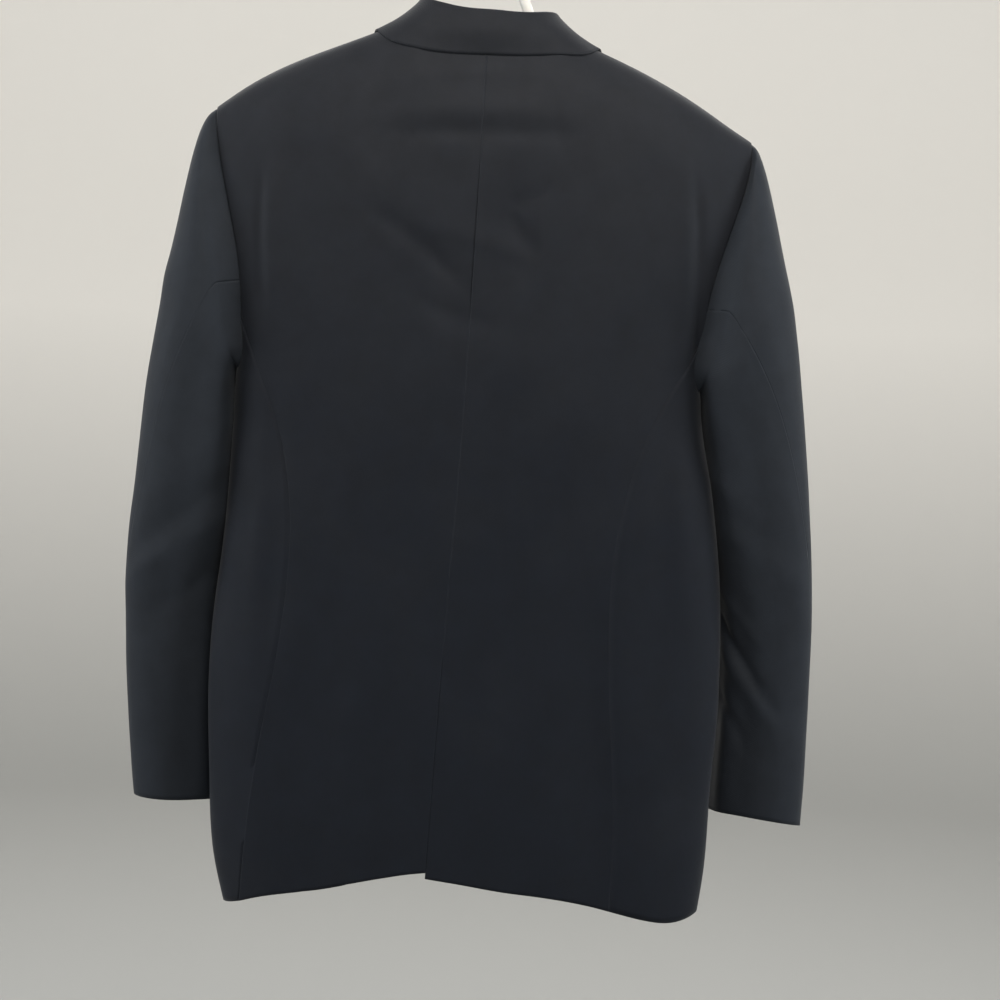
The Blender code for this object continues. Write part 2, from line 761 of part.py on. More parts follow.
def panel_rows():
    """Rows down a back or front: over the shoulder, down the yoke, then to the hem."""
    rows = [i / ROUND_STEPS for i in range(ROUND_STEPS)]
    rows += [1 + i / YOKE_STEPS for i in range(YOKE_STEPS)]
    return rows + [2 + way for way in WAYS_DOWN]


def seam_lean(side, z, way, face):
    """The way out of the cloth at the side panel's seam, for both of the pieces that meet there."""
    facing_sign = 1 if face == "back" else -1
    out = seam_out(side, z, face)
    half = half_width(side, z)
    depth = look(BODY_TABLE, BODY_COLUMNS, face, z)
    rise = oval_depth(side, out, z, face) / depth
    lean = np.array([(out / half) ** (ROUNDNESS - 1) / half, rise ** (ROUNDNESS - 1) / depth, 0.0])
    lean[1] *= facing_sign
    top = 1 - ease(way / LEAN_SPREAD)
    lean = lean / np.linalg.norm(lean) * (1 - top) + armhole_lean(facing_sign * JOINT_ANGLE) * top
    return lean / np.linalg.norm(lean)


def edge_leans(side, column, face):
    """The leans of a back or front along its outer edge: the armhole's, then the seam's."""
    leans = []
    facing_sign = 1 if face == "back" else -1
    for i, down in enumerate(panel_rows()):
        if down <= 2:
            angle = 90 * down if down <= 1 else 90 + (JOINT_ANGLE - 90) * (down - 1)
            leans.append((i, column, armhole_lean(facing_sign * angle), 1.0))
        else:
            z = outer_edge(side, down, face)[2]
            leans.append((i, column, seam_lean(side, z, down - 2, face), 1.0))
    return leans


def make_body(collection, root, navy):
    for side in ("left", "right"):
        for face, surface, across in (("back", back, BACK_ACROSS), ("front", front, FRONT_ACROSS)):
            leans = edge_leans(side, len(across) - 1, face)
            outer, inner = skins(surface, side, across, panel_rows(), body_core, leans)
            place(f"{face}_{side}", wall_mesh(face, side, outer, inner), navy, collection, root)
        across = [i / UNDERARM_STEPS for i in range(UNDERARM_STEPS + 1)]
        leans = []
        for i, way in enumerate(WAYS_DOWN):
            for column, face in ((0, "back"), (UNDERARM_STEPS, "front")):
                z = side_panel(side, column / UNDERARM_STEPS, way)[2]
                leans.append((i, column, seam_lean(side, z, way, face), 1.0))
        for j, share in enumerate(across):
            lean = armhole_lean(JOINT_ANGLE + (360 - 2 * JOINT_ANGLE) * share)
            leans += [(i, j, lean, hold) for i, hold in enumerate(LEAN_HOLD) if i == 0 or 0 < share < 1]
        outer, inner = skins(side_panel, side, across, WAYS_DOWN, body_core, leans)
        place(f"side_{side}", wall_mesh("side", side, outer, inner), navy, collection, root)


def ring_angles():
    """Angles round the armhole, the same as the rows and columns of the panels that meet it."""
    half = [90 * i / ROUND_STEPS for i in range(ROUND_STEPS)]
    half += [90 + (JOINT_ANGLE - 90) * i / YOKE_STEPS for i in range(YOKE_STEPS)]
    under = [JOINT_ANGLE + (360 - 2 * JOINT_ANGLE) * i / UNDERARM_STEPS for i in range(UNDERARM_STEPS)]
    back_half = half + under
    return back_half + [360 - angle for angle in reversed(half[1:] + [JOINT_ANGLE])]


def make_sleeves(collection, root, navy):
    angles = ring_angles()
    inseam = INSEAM_ANGLE % 360
    top = [a - 360 for a in angles if a >= inseam] + [a for a in angles if a <= ELBOW_ANGLE]
    under = [a for a in angles if ELBOW_ANGLE <= a <= inseam]
    for side in ("left", "right"):
        rows = list(range(len(SLEEVE_TABLES[side]) + 1))
        for name, columns in (("top_sleeve", top), ("under_sleeve", under)):

            def core(point, side=side):
                return sleeve_core(side, point)

            leans = [
                (i, j, armhole_lean(angle), hold)
                for i, hold in enumerate(LEAN_HOLD)
                for j, angle in enumerate(columns)
            ]
            outer, inner = skins(sleeve, side, columns, rows, core, leans, (-360, 360))
            place(f"{name}_{side}", wall_mesh(name, side, outer, inner), navy, collection, root)


def sleeve_core(side, point):
    """A point inside the sleeve near the given one."""
    best = None
    for row in range(1, len(SLEEVE_TABLES[side]) + 1):
        middle = (sleeve_ring(side, 0, row) + sleeve_ring(side, 180, row)) / 2
        gap = np.linalg.norm(middle - point)
        if best is None or gap < best[0]:
            best = (gap, middle)
    return best[1]


def locate(surface, side, wanted, guess):
    """Across and down of the surface's point that has two wanted coordinates."""
    at = np.array(guess, float)
    axes = [axis for axis, _ in wanted]
    goal = np.array([value for _, value in wanted], float)
    for _ in range(LOCATE_TURNS):
        here = surface(side, *at)[axes]
        slope = np.array([
            surface(side, at[0] + LOCATE_STEP, at[1])[axes] - here,
            surface(side, at[0], at[1] + LOCATE_STEP)[axes] - here,
        ]).T / LOCATE_STEP
        at += np.clip(np.linalg.solve(slope, goal - here), -LOCATE_REACH, LOCATE_REACH)
        at = np.clip(at, LOCATE_FROM, LOCATE_TO)
    return at


def laid_on(surface, side, out, z, lift, guess):
    """The point of a panel at a place seen from behind or in front, moved out of the cloth."""
    across, down = locate(surface, side, ((0, out), (2, z)), guess)
    way_out = facing(surface, side, across, down, (0, 1), (0, 3), body_core)
    return surface(side, across, down) + way_out * lift, (across, down)


def laid_piece(name, side, corners, collection, root, navy):
    """A wall that lies on the front: corners holds its rows of (out, z, lift)."""
    outer, inner = [], []
    guess = (0.5, 1.5)
    for row in corners:
        outer.append([])
        inner.append([])
        for out, z, lift in row:
            point, guess = laid_on(front, side, out, z, lift + CLOTH, guess)
            under, guess = laid_on(front, side, out, z, lift, guess)
            outer[-1].append(point)
            inner[-1].append(under)
    place(name, wall_mesh(name, side, outer, inner), navy, collection, root)


def make_lapels(collection, root, navy):
    for side in ("left", "right"):
        low = shoulder_z(side, NECK_HALF) - shoulder_z("left", NECK_HALF)
        corners = []
        for i in range(LAPEL_DOWN + 1):
            way = i / LAPEL_DOWN
            read = functools.partial(look, LAPEL_TABLE, LAPEL_COLUMNS)
            tilt = low * ease(1 - way)
            corners.append([])
            for share in LAPEL_ACROSS:
                out = read("roll_x", way) + (read("edge_x", way) - read("roll_x", way)) * share
                z = read("roll_z", way) + (read("edge_z", way) - read("roll_z", way)) * share + tilt
                roll = LAPEL_ROLL * (1 - share) ** 3 * ease((1 - way) / LAPEL_FLAT_FROM)
                z -= GORGE_DIP * math.sin(math.pi * share) * ease(1 - way / GORGE_REACH)
                corners[-1].append((out, z, LAPEL_GAP + roll))
        laid_piece(f"lapel_{side}", side, corners, collection, root, navy)


def make_pockets(collection, root, navy):
    for side in ("left", "right"):
        corners = []
        for down, inset in FLAP_ROWS:
            corners.append([])
            for share in np.linspace(0, 1, FLAP["steps"] + 1):
                out = FLAP["inner"] + inset + (FLAP["outer"] - FLAP["inner"] - 2 * inset) * share
                z = FLAP["top"] - FLAP["height"] * down - FLAP["slope"] * share
                corners[-1].append((out, z, LAY_GAP))
        laid_piece(f"flap_{side}", side, corners, collection, root, navy)
    corners = [
        [
            (
                WELT["inner"] + (WELT["outer"] - WELT["inner"]) * share,
                WELT["top"] - WELT["height"] * down - WELT["slope"] * share,
                LAY_GAP,
            )
            for share in np.linspace(0, 1, WELT["steps"] + 1)
        ]
        for down in WELT_ROWS
    ]
    laid_piece("breast_welt", "left", corners, collection, root, navy)


# Collar

def collar_edge(side, way, low):
    """A point of the fall's edge, just off the cloth of the back, the shoulder or the front."""
    read = functools.partial(look, COLLAR_TABLE, COLLAR_COLUMNS)
    out, y, z = read("edge_x", way), read("edge_y", way), read("edge_z", way) - low
    wanted = ((0, out), (1, y)) if EDGE_OVER[0] < way < EDGE_OVER[1] else ((0, out), (2, z))
    if y > top_depth(side, out):
        surface, guess = back, (out / armhole_out(side, 0), 0.5)
    else:
        surface, guess = front, ((out - NECK_HALF) / (armhole_out(side, 0) - NECK_HALF), 0.5)
    across, down = locate(surface, side, wanted, guess)
    out_way = facing(surface, side, across, down, (0, 1), (0, 3), body_core)
    return surface(side, across, down) + out_way * (CLOTH + COLLAR_GAP)


def neck_point(side, way):
    """The neck seam from the centre back, at way 0, round to the gorge, at way 1."""
    if way < NECK_WAY:
        out = NECK_HALF * math.sin(math.pi / 2 * way / NECK_WAY)
        y, z = neckline(side, out)
        return np.array([out, y, z])
    down = (way - NECK_WAY) / (1 - NECK_WAY) * GORGE_DOWN
    return front(side, 0, down)


@functools.lru_cache(maxsize=None)
def collar_station(side, way):
    """The neck, roll and edge points of one section of the collar, and its level way out."""
    read = functools.partial(look, COLLAR_TABLE, COLLAR_COLUMNS)
    roll_low = edge_low = 0.0
    if side == "right":
        roll_low = DROOP * ease(read("roll_x", way) / NECK_HALF)
        edge_low = DROOP * ease((read("edge_x", way) - DROOP_FROM) / DROOP_REACH)
    neck = neck_point(side, way)
    roll = np.array([read("roll_x", way), read("roll_y", way), read("roll_z", way) - roll_low])
    edge = collar_edge(side, way, edge_low)
    outward = edge - roll
    outward[2] = 0
    outward /= np.linalg.norm(outward)
    neck = neck - outward * (CLOTH + STAND_INSET) + np.array([0, 0, STAND_LIFT])
    return neck, roll, edge, outward, read("bulge", way)


def collar(side, way, share):
    """A point of the collar's face: share 0 at the stand's seam, 1 at the fall's edge."""
    neck, roll, edge, outward, bulge = collar_station(side, way)
    up = np.array([0, 0, 1.0])
    middle = roll - up * COLLAR_ROLL
    if share < STAND_SHARE:
        t = share / STAND_SHARE
        return neck + (middle - outward * COLLAR_ROLL - neck) * t
    if share < FALL_SHARE:
        turn = math.pi * (share - STAND_SHARE) / (FALL_SHARE - STAND_SHARE)
        return middle - outward * COLLAR_ROLL * math.cos(turn) + up * COLLAR_ROLL * math.sin(turn)
    t = (share - FALL_SHARE) / (1 - FALL_SHARE)
    start = middle + outward * COLLAR_ROLL
    return start + (edge - start) * t + (outward + up * BULGE_UP) * bulge * math.sin(math.pi * t)


def make_collar(collection, root, navy):
    """Both halves in one piece, from the right gorge round the back to the left one."""
    ways = [("right", way) for way in reversed(COLLAR_WAYS)]
    ways += [("left", way) for way in COLLAR_WAYS[1:]]
    outer, inner = [], []
    for side, way in ways:
        outer.append([])
        inner.append([])
        for share in COLLAR_SHARES:
            near, far = max(way - SLOPE_STEP, 0.0), min(way + SLOPE_STEP, 1.0)
            low, high = max(share - SLOPE_STEP, 0.0), min(share + SLOPE_STEP, 1.0)
            along = collar(side, far, share) - collar(side, near, share)
            over = collar(side, way, high) - collar(side, way, low)
            out = np.cross(along, over)
            out /= np.linalg.norm(out)
            if way == 0:
                out[0] = 0
            point = collar(side, way, share)
            mirror = np.array([SIGN[side], 1, 1])
            outer[-1].append(point * mirror)
            inner[-1].append((point - out * CLOTH) * mirror)
    place("collar", wall_mesh("collar", "left", outer, inner), navy, collection, root)


# Buttons and hanger

def make_button(name, radius, point, out, material, collection, root):
    """A turned button with a raised rim, whose flat back faces the cloth."""
    profile = bpy.data.meshes.new(name)
    unit = radius / BUTTON_UNIT
    points = [(share * radius * MM, 0, height * unit * MM) for share, height in BUTTON_PROFILE]
    profile.from_pydata(points, [(i, i + 1) for i in range(len(points) - 1)], [])
    obj = place(name, profile, material, collection, root)
    turn = obj.modifiers.new("turned", "SCREW")
    turn.steps = BUTTON_SIDES
    turn.render_steps = BUTTON_SIDES
    turn.use_merge_vertices = True
    turn.merge_threshold = 1e-5
    turn.use_normal_calculate = True
    obj.location = Vector(point) * MM
    obj.rotation_euler = Vector(out).to_track_quat("Z", "Y").to_euler()


def make_buttons(collection, root):
    plastic = paint("button_plastic", BUTTON_NAVY, 0.35)
    for name, z in FRONT_BUTTON_HEIGHTS.items():
        guess = (0.1, 2.3)
        across, down = locate(front, "left", ((0, 0.0), (2, z)), guess)
        out = facing(front, "left", across, down, (0, 1), (0, 3), body_core)
        point = front("left", across, down) + out * BUTTON_GAP
        make_button(name, FRONT_BUTTON_RADIUS, point, out, plastic, collection, root)
    for side in ("left", "right"):
        mirror = np.array([SIGN[side], 1, 1])
        rows = (0, len(SLEEVE_TABLES[side]))
        core = functools.partial(sleeve_core, side)
        for number, row in enumerate(CUFF_BUTTON_ROWS, 1):
            out = facing(sleeve, side, CUFF_BUTTON_ANGLE, row, (0, 90), rows, core)
            point = (sleeve(side, CUFF_BUTTON_ANGLE, row) + out * BUTTON_GAP) * mirror
            name = f"cuff_button_{side}_{number}"
            make_button(name, CUFF_BUTTON_RADIUS, point, out * mirror, plastic, collection, root)


def tube(name, points, closed):
    """A round bent tube through points in millimetres, as a mesh."""
    line = bpy.data.curves.new(name, "CURVE")
    line.dimensions = "3D"
    line.bevel_depth = TUBE * MM
    line.bevel_resolution = TUBE_SIDES
    line.use_fill_caps = not closed
    spline = line.splines.new("POLY")
    spline.points.add(len(points) - 1)
    for spot, (x, y, z) in zip(spline.points, points):
        spot.co = (x * MM, y * MM, z * MM, 1)
    spline.use_cyclic_u = closed
    guide = bpy.data.objects.new(name, line)
    bpy.context.scene.collection.objects.link(guide)
    bpy.context.view_layer.update()
    solved = guide.evaluated_get(bpy.context.evaluated_depsgraph_get())
    mesh = bpy.data.meshes.new_from_object(solved)
    bpy.data.objects.remove(guide)
    shape = bmesh.new()
    shape.from_mesh(mesh)
    bmesh.ops.remove_doubles(shape, verts=shape.verts, dist=1e-6)
    bmesh.ops.recalc_face_normals(shape, faces=shape.faces)
    shape.to_mesh(mesh)
    shape.free()
    return mesh


def arc(middle_x, middle_z, radius, start, end, steps):
    angles = np.radians(np.linspace(start, end, steps + 1))
    return [(middle_x + radius * math.cos(a), 0.0, middle_z + radius * math.sin(a)) for a in angles]


def rounded_path(corners, radii, steps):
    """The corners of a bent bar, each replaced by an arc that touches both its sides."""
    path = []
    count = len(corners)
    for i, radius in enumerate(radii):
        here = Vector(corners[i])
        before = (Vector(corners[i - 1]) - here).normalized()
        after = (Vector(corners[(i + 1) % count]) - here).normalized()
        half = before.angle(after) / 2
        reach = radius / math.tan(half)
        middle = here + (before + after).normalized() * radius / math.sin(half)
        start = here + before * reach - middle
        end = here + after * reach - middle
        for step in range(steps + 1):
            path.append(tuple(middle + start.slerp(end, step / steps) * radius))
    return path


def make_hanger(collection, root, cutters):
    white = paint("hanger_plastic", WHITE, 0.4)
    neck_x, neck_z = HANGER_NECK
    left_x, right_x = HANGER_ENDS["left"], -HANGER_ENDS["right"]
    left_z = shoulder_z("left", left_x) - HANGER_UNDER
    right_z = shoulder_z("right", -right_x) - HANGER_UNDER
    knees = HANGER_KNEES
    corners = [
        (neck_x, 0, neck_z - TUBE),
        (knees["left"], 0, shoulder_z("left", knees["left"]) - HANGER_UNDER),
        (left_x, 0, left_z),
        (left_x - BAR_INSET, 0, left_z - BAR_DROP),
        (right_x + BAR_INSET, 0, right_z - BAR_DROP * BAR_SLOPE),
        (right_x, 0, right_z),
        (-knees["right_outer"], 0, shoulder_z("right", knees["right_outer"]) - HANGER_UNDER),
        (-knees["right"], 0, shoulder_z("right", knees["right"]) - HANGER_UNDER),
    ]
    path = rounded_path(corners, HANGER_BENDS, BEND_STEPS)
    frame = place("hanger", tube("hanger", path, True), white, collection, root)
    path = arc(0, -HOOK_INSIDE, HOOK_INSIDE + TUBE, HOOK_TIP, 180, HOOK_STEPS)
    path += [tuple(point) for point in stem_points(path[-1], (neck_x, 0.0, neck_z - TUBE))]
    hook = bpy.data.objects.new("hook_joined", tube("hook_joined", path, False))
    cutters.objects.link(hook)
    hook.parent = root
    hook.hide_render = True
    hook.display_type = "WIRE"
    join = frame.modifiers.new("hook", "BOOLEAN")
    join.operation = "UNION"
    join.solver = "EXACT"
    join.object = hook


def stem_points(start, end):
    """The stem's soft double bend from the hook's side down to the neck."""
    start, end = Vector(start), Vector(end)
    below = start + Vector((0, 0, -STEM_STRAIGHT))
    points = []
    for step in range(1, STEM_STEPS + 1):
        t = step / STEM_STEPS
        points.append(Vector((below.x + (end.x - below.x) * ease(t), 0, below.z + (end.z - below.z) * t)))
    return [below] + points


def main():
    for obj in list(bpy.data.objects):
        bpy.data.objects.remove(obj)
    jacket = bpy.data.collections.new("suit_jacket_on_hanger")
    cutters = bpy.data.collections.new("joined_shapes")
    bpy.context.scene.collection.children.link(jacket)
    bpy.context.scene.collection.children.link(cutters)
    cutters.hide_render = True
    root = bpy.data.objects.new("hook_crest", None)
    jacket.objects.link(root)
    navy = paint("navy_wool", NAVY, 0.85)
    make_body(jacket, root, navy)
    make_sleeves(jacket, root, navy)
    make_collar(jacket, root, navy)
    make_lapels(jacket, root, navy)
    make_pockets(jacket, root, navy)
    make_buttons(jacket, root)
    make_hanger(jacket, root, cutters)


main()
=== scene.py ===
import math

import bmesh
import bpy
import numpy as np
from mathutils import Matrix, Vector


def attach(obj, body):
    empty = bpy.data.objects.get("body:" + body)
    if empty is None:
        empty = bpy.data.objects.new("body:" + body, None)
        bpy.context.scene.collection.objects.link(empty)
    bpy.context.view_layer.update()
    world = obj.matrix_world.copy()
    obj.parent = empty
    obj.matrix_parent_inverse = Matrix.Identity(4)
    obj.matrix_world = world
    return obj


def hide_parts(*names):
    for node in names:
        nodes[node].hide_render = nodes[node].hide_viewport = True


mm = 0.001

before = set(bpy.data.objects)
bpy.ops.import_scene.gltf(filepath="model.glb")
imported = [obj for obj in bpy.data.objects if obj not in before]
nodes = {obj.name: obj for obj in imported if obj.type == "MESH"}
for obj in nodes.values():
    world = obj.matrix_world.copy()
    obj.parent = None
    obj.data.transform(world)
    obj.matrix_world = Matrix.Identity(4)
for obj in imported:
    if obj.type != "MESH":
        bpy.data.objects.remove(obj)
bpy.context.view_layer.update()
print("frame loaded,", len(nodes), "nodes")


# Small helpers

def ease(value, low, high):
    share = np.clip((value - low) / (high - low), 0, 1)
    return share * share * (3 - 2 * share)


def points(mesh):
    flat = np.empty(len(mesh.vertices) * 3, np.float32)
    mesh.vertices.foreach_get("co", flat)
    return flat.reshape(-1, 3).astype(float)


def setPoints(mesh, places):
    mesh.vertices.foreach_set("co", places.astype(np.float32).ravel())
    mesh.update()


def newObject(name, mesh):
    piece = bpy.data.objects.new(name, mesh)
    bpy.context.scene.collection.objects.link(piece)
    return piece


def applied(piece):  # the piece's modifiers made real
    bpy.context.view_layer.update()
    graph = bpy.context.evaluated_depsgraph_get()
    mesh = bpy.data.meshes.new_from_object(piece.evaluated_get(graph))
    piece.modifiers.clear()
    piece.data = mesh


# Shader groups

def newGroup(name, inputs, outputs):
    tree = bpy.data.node_groups.new(name, "ShaderNodeTree")
    for label, kind, value in inputs:
        tree.interface.new_socket(label, in_out="INPUT", socket_type=kind).default_value = value
    for label, kind in outputs:
        tree.interface.new_socket(label, in_out="OUTPUT", socket_type=kind)
    return tree, tree.nodes.new("NodeGroupInput"), tree.nodes.new("NodeGroupOutput")


def maths(tree, operation, *values):  # a math node whose inputs are numbers or sockets
    node = tree.nodes.new("ShaderNodeMath")
    node.operation = operation
    for socket, value in zip(node.inputs, values):
        if isinstance(value, (int, float)):
            socket.default_value = value
        else:
            tree.links.new(value, socket)
    return node.outputs[0]


def noise(tree, vector, scale, detail, roughness):
    node = tree.nodes.new("ShaderNodeTexNoise")
    node.inputs["Scale"].default_value = scale
    node.inputs["Detail"].default_value = detail
    node.inputs["Roughness"].default_value = roughness
    tree.links.new(vector, node.inputs["Vector"])
    return node.outputs["Fac"]


def mixed(tree, factor):  # a colour mix whose ends are still to be set
    node = tree.nodes.new("ShaderNodeMix")
    node.data_type = "RGBA"
    tree.links.new(factor, node.inputs["Factor"])
    return node


# Scale, detail and roughness of each noise, and how much Y and Z count in the ribs' slant
weave = {
    "slub": (900, 2, 0.5),
    "fleck": (260, 3, 0.7),
    "cloud": (42, 5, 0.68),
    "patch": (11, 5, 0.62),
    "slantY": 0.8,
    "slantZ": 0.55,
}


def twillGroup():  # fine slanted ribs, slubs in the yarn, soft patches of wear, and painted light: paler higher up, with painted shade darker towards the hem, as light falls from above
    tree, given, result = newGroup(
        "worstedTwill",
        [
            ("Colour", "NodeSocketColor", (0.02, 0.024, 0.033, 1)),
            ("Worn And Lit Colour", "NodeSocketColor", (0.03, 0.032, 0.038, 1)),
            ("Rib", "NodeSocketFloat", 0.001),
            ("Mottle", "NodeSocketFloat", 0.12),
            ("Painted Light Foot", "NodeSocketFloat", -0.7),
            ("Painted Light Top", "NodeSocketFloat", -0.1),
        ],
        [("Colour", "NodeSocketColor"), ("Roughness", "NodeSocketFloat"), ("Height", "NodeSocketFloat")],
    )
    place = tree.nodes.new("ShaderNodeNewGeometry").outputs["Position"]
    split = tree.nodes.new("ShaderNodeSeparateXYZ")
    tree.links.new(place, split.inputs[0])
    x, y, z = split.outputs
    slant = maths(tree, "MULTIPLY_ADD", y, weave["slantY"], x)
    slant = maths(tree, "ADD", slant, maths(tree, "MULTIPLY", z, weave["slantZ"]))
    turns = maths(tree, "MULTIPLY", maths(tree, "DIVIDE", slant, given.outputs["Rib"]), math.tau)
    slub = noise(tree, place, *weave["slub"])
    rib = maths(tree, "SINE", maths(tree, "MULTIPLY_ADD", slub, 3.0, turns))
    fleck = noise(tree, place, *weave["fleck"])
    cloud = noise(tree, place, *weave["cloud"])
    patch = noise(tree, place, *weave["patch"])
    # Painted light and shade: the colour turns towards the worn colour higher up, as if lit from above, and
    # stays dark towards the hem
    paintedLightByHeight = tree.nodes.new("ShaderNodeMapRange")
    tree.links.new(z, paintedLightByHeight.inputs["Value"])
    tree.links.new(given.outputs["Painted Light Foot"], paintedLightByHeight.inputs["From Min"])
    tree.links.new(given.outputs["Painted Light Top"], paintedLightByHeight.inputs["From Max"])

    # The worn colour comes in with random patches of wear and with the painted light higher up
    worn = maths(tree, "MULTIPLY_ADD", patch, 1.0, -0.5)
    blend = mixed(tree, maths(tree, "ADD", worn, paintedLightByHeight.outputs["Result"]))
    tree.links.new(given.outputs["Colour"], blend.inputs["A"])
    tree.links.new(given.outputs["Worn And Lit Colour"], blend.inputs["B"])
    tone = maths(tree, "MULTIPLY_ADD", fleck, 2.0, maths(tree, "MULTIPLY_ADD", rib, 0.3, -1.0))
    tone = maths(tree, "MULTIPLY_ADD", cloud, 5.0, maths(tree, "ADD", tone, -2.5))
    shade = tree.nodes.new("ShaderNodeHueSaturation")
    tree.links.new(blend.outputs["Result"], shade.inputs["Color"])
    value = maths(tree, "MULTIPLY_ADD", tone, given.outputs["Mottle"], 1.0)
    tree.links.new(value, shade.inputs["Value"])

    tree.links.new(shade.outputs["Color"], result.inputs["Colour"])
    tree.links.new(maths(tree, "MULTIPLY_ADD", fleck, 0.16, 0.66), result.inputs["Roughness"])
    height = maths(tree, "MULTIPLY_ADD", rib, 0.35, maths(tree, "MULTIPLY", fleck, 0.6))
    tree.links.new(height, result.inputs["Height"])
    return tree


moulding = {"cloud": (60, 4, 0.6), "grain": (700, 2, 0.6)}  # scale, detail and roughness


def speckGroup():  # moulded or polished plastic: faint clouds and fine grain
    tree, given, result = newGroup(
        "mouldedPlastic",
        [
            ("Colour", "NodeSocketColor", (0.8, 0.8, 0.78, 1)),
            ("Cloud Colour", "NodeSocketColor", (0.7, 0.69, 0.66, 1)),
            ("Cloud Scale", "NodeSocketFloat", 60.0),
            ("Gloss", "NodeSocketFloat", 0.3),
        ],
        [("Colour", "NodeSocketColor"), ("Roughness", "NodeSocketFloat"), ("Height", "NodeSocketFloat")],
    )
    place = tree.nodes.new("ShaderNodeNewGeometry").outputs["Position"]
    cloud = noise(tree, place, *moulding["cloud"])
    tree.links.new(given.outputs["Cloud Scale"], cloud.node.inputs["Scale"])
    blend = mixed(tree, maths(tree, "MULTIPLY_ADD", cloud, 2.0, -0.5))
    tree.links.new(given.outputs["Colour"], blend.inputs["A"])
    tree.links.new(given.outputs["Cloud Colour"], blend.inputs["B"])
    tree.links.new(blend.outputs["Result"], result.inputs["Colour"])
    dull = maths(tree, "MULTIPLY_ADD", cloud, 0.2, given.outputs["Gloss"])
    tree.links.new(dull, result.inputs["Roughness"])
    tree.links.new(noise(tree, place, *moulding["grain"]), result.inputs["Height"])
    return tree


twill = twillGroup()
speck = speckGroup()


def newMaterial(name, tree, values, look):
    material = bpy.data.materials.new(name)
    material.use_nodes = True
    shader = material.node_tree.nodes["Principled BSDF"]
    effect = material.node_tree.nodes.new("ShaderNodeGroup")
    effect.node_tree = tree
    for label, value in values.items():
        effect.inputs[label].default_value = value
    bump = material.node_tree.nodes.new("ShaderNodeBump")
    bump.inputs["Strength"].default_value = look["bump"]
    bump.inputs["Distance"].default_value = look["depth"]
    link = material.node_tree.links.new
    link(effect.outputs["Colour"], shader.inputs["Base Color"])
    link(effect.outputs["Roughness"], shader.inputs["Roughness"])
    link(effect.outputs["Height"], bump.inputs["Height"])
    link(bump.outputs["Normal"], shader.inputs["Normal"])
    for label, value in look["shader"].items():
        shader.inputs[label].default_value = value
    return material


woolLook = {
    # The body's colour is the dark end, painted shade towards the hem; its worn colour is real wear and
    # painted light higher up
    "colour": (0.0038, 0.0060, 0.0112, 1),
    "wornAndLitColour": (0.0122, 0.0139, 0.0182, 1),
    # The sleeves' colours are the body's cloth painted lighter: painted light, where more light falls on the
    # sleeves than on the back
    "sleeveLitColour": (0.0112, 0.0148, 0.0216, 1),
    "sleeveWornAndLitColour": (0.0160, 0.0198, 0.0262, 1),
    "paintedLightByHeight": (-0.62, -0.06),  # the heights between which the worn colour comes in; this is painted light, paler higher up, and painted shade towards the hem
    "sleevePaintedLightByHeight": (-1.30, 0.0),
    "rib": 1.1 * mm,
    "mottle": 0.14,
    "bump": 0.35,
    "depth": 0.25 * mm,
    "shader": {
        "Specular IOR Level": 0.22,
        "Sheen Weight": 0.09,
        "Sheen Roughness": 0.4,
        "Sheen Tint": (0.85, 0.88, 0.92, 1),
    },
}


def newWool(name, colour, wornAndLitColour, paintedLightByHeight):
    values = {
        "Colour": woolLook[colour],
        "Worn And Lit Colour": woolLook[wornAndLitColour],
        "Rib": woolLook["rib"],
        "Mottle": woolLook["mottle"],
        "Painted Light Foot": woolLook[paintedLightByHeight][0],
        "Painted Light Top": woolLook[paintedLightByHeight][1],
    }
    return newMaterial(name, twill, values, woolLook)


# One cloth in two copies: the sleeves' copy is painted lighter, as painted light where more light falls on
# them
bodyWool = newWool("navyWorsted", "colour", "wornAndLitColour", "paintedLightByHeight")
litSleeveWool = newWool("navyWorstedSleevePaintedLight", "sleeveLitColour", "sleeveWornAndLitColour", "sleevePaintedLightByHeight")

threadLook = {
    "colour": (0.030, 0.035, 0.050, 1),
    "bump": 0.5,
    "depth": 0.1 * mm,
    "shader": {"Specular IOR Level": 0.4, "Sheen Weight": 0.2},
}
thread = newMaterial(
    "navyThread",
    twill,
    {"Colour": threadLook["colour"], "Worn And Lit Colour": threadLook["colour"], "Rib": 0.35 * mm, "Mottle": 0.25},
    threadLook,
)

buttonLook = {
    "colour": (0.012, 0.013, 0.018, 1),
    "cloudColour": (0.03, 0.028, 0.03, 1),
    "bump": 0.15,
    "depth": 0.05 * mm,
    "shader": {"Specular IOR Level": 0.5, "Coat Weight": 0.25, "Coat Roughness": 0.2},
}
buttonPlastic = newMaterial(
    "buttonPlastic",
    speck,
    {
        "Colour": buttonLook["colour"],
        "Cloud Colour": buttonLook["cloudColour"],
        "Cloud Scale": 240.0,
        "Gloss": 0.22,
    },
    buttonLook,
)

hangerLook = {
    "colour": (0.80, 0.79, 0.76, 1),
    "cloudColour": (0.72, 0.71, 0.67, 1),
    "bump": 0.08,
    "depth": 0.1 * mm,
    "shader": {"Specular IOR Level": 0.5},
}
hangerPlastic = newMaterial(
    "hangerPlastic",
    speck,
    {
        "Colour": hangerLook["colour"],
        "Cloud Colour": hangerLook["cloudColour"],
        "Cloud Scale": 40.0,
        "Gloss": 0.3,
    },
    hangerLook,
)
print("materials made")


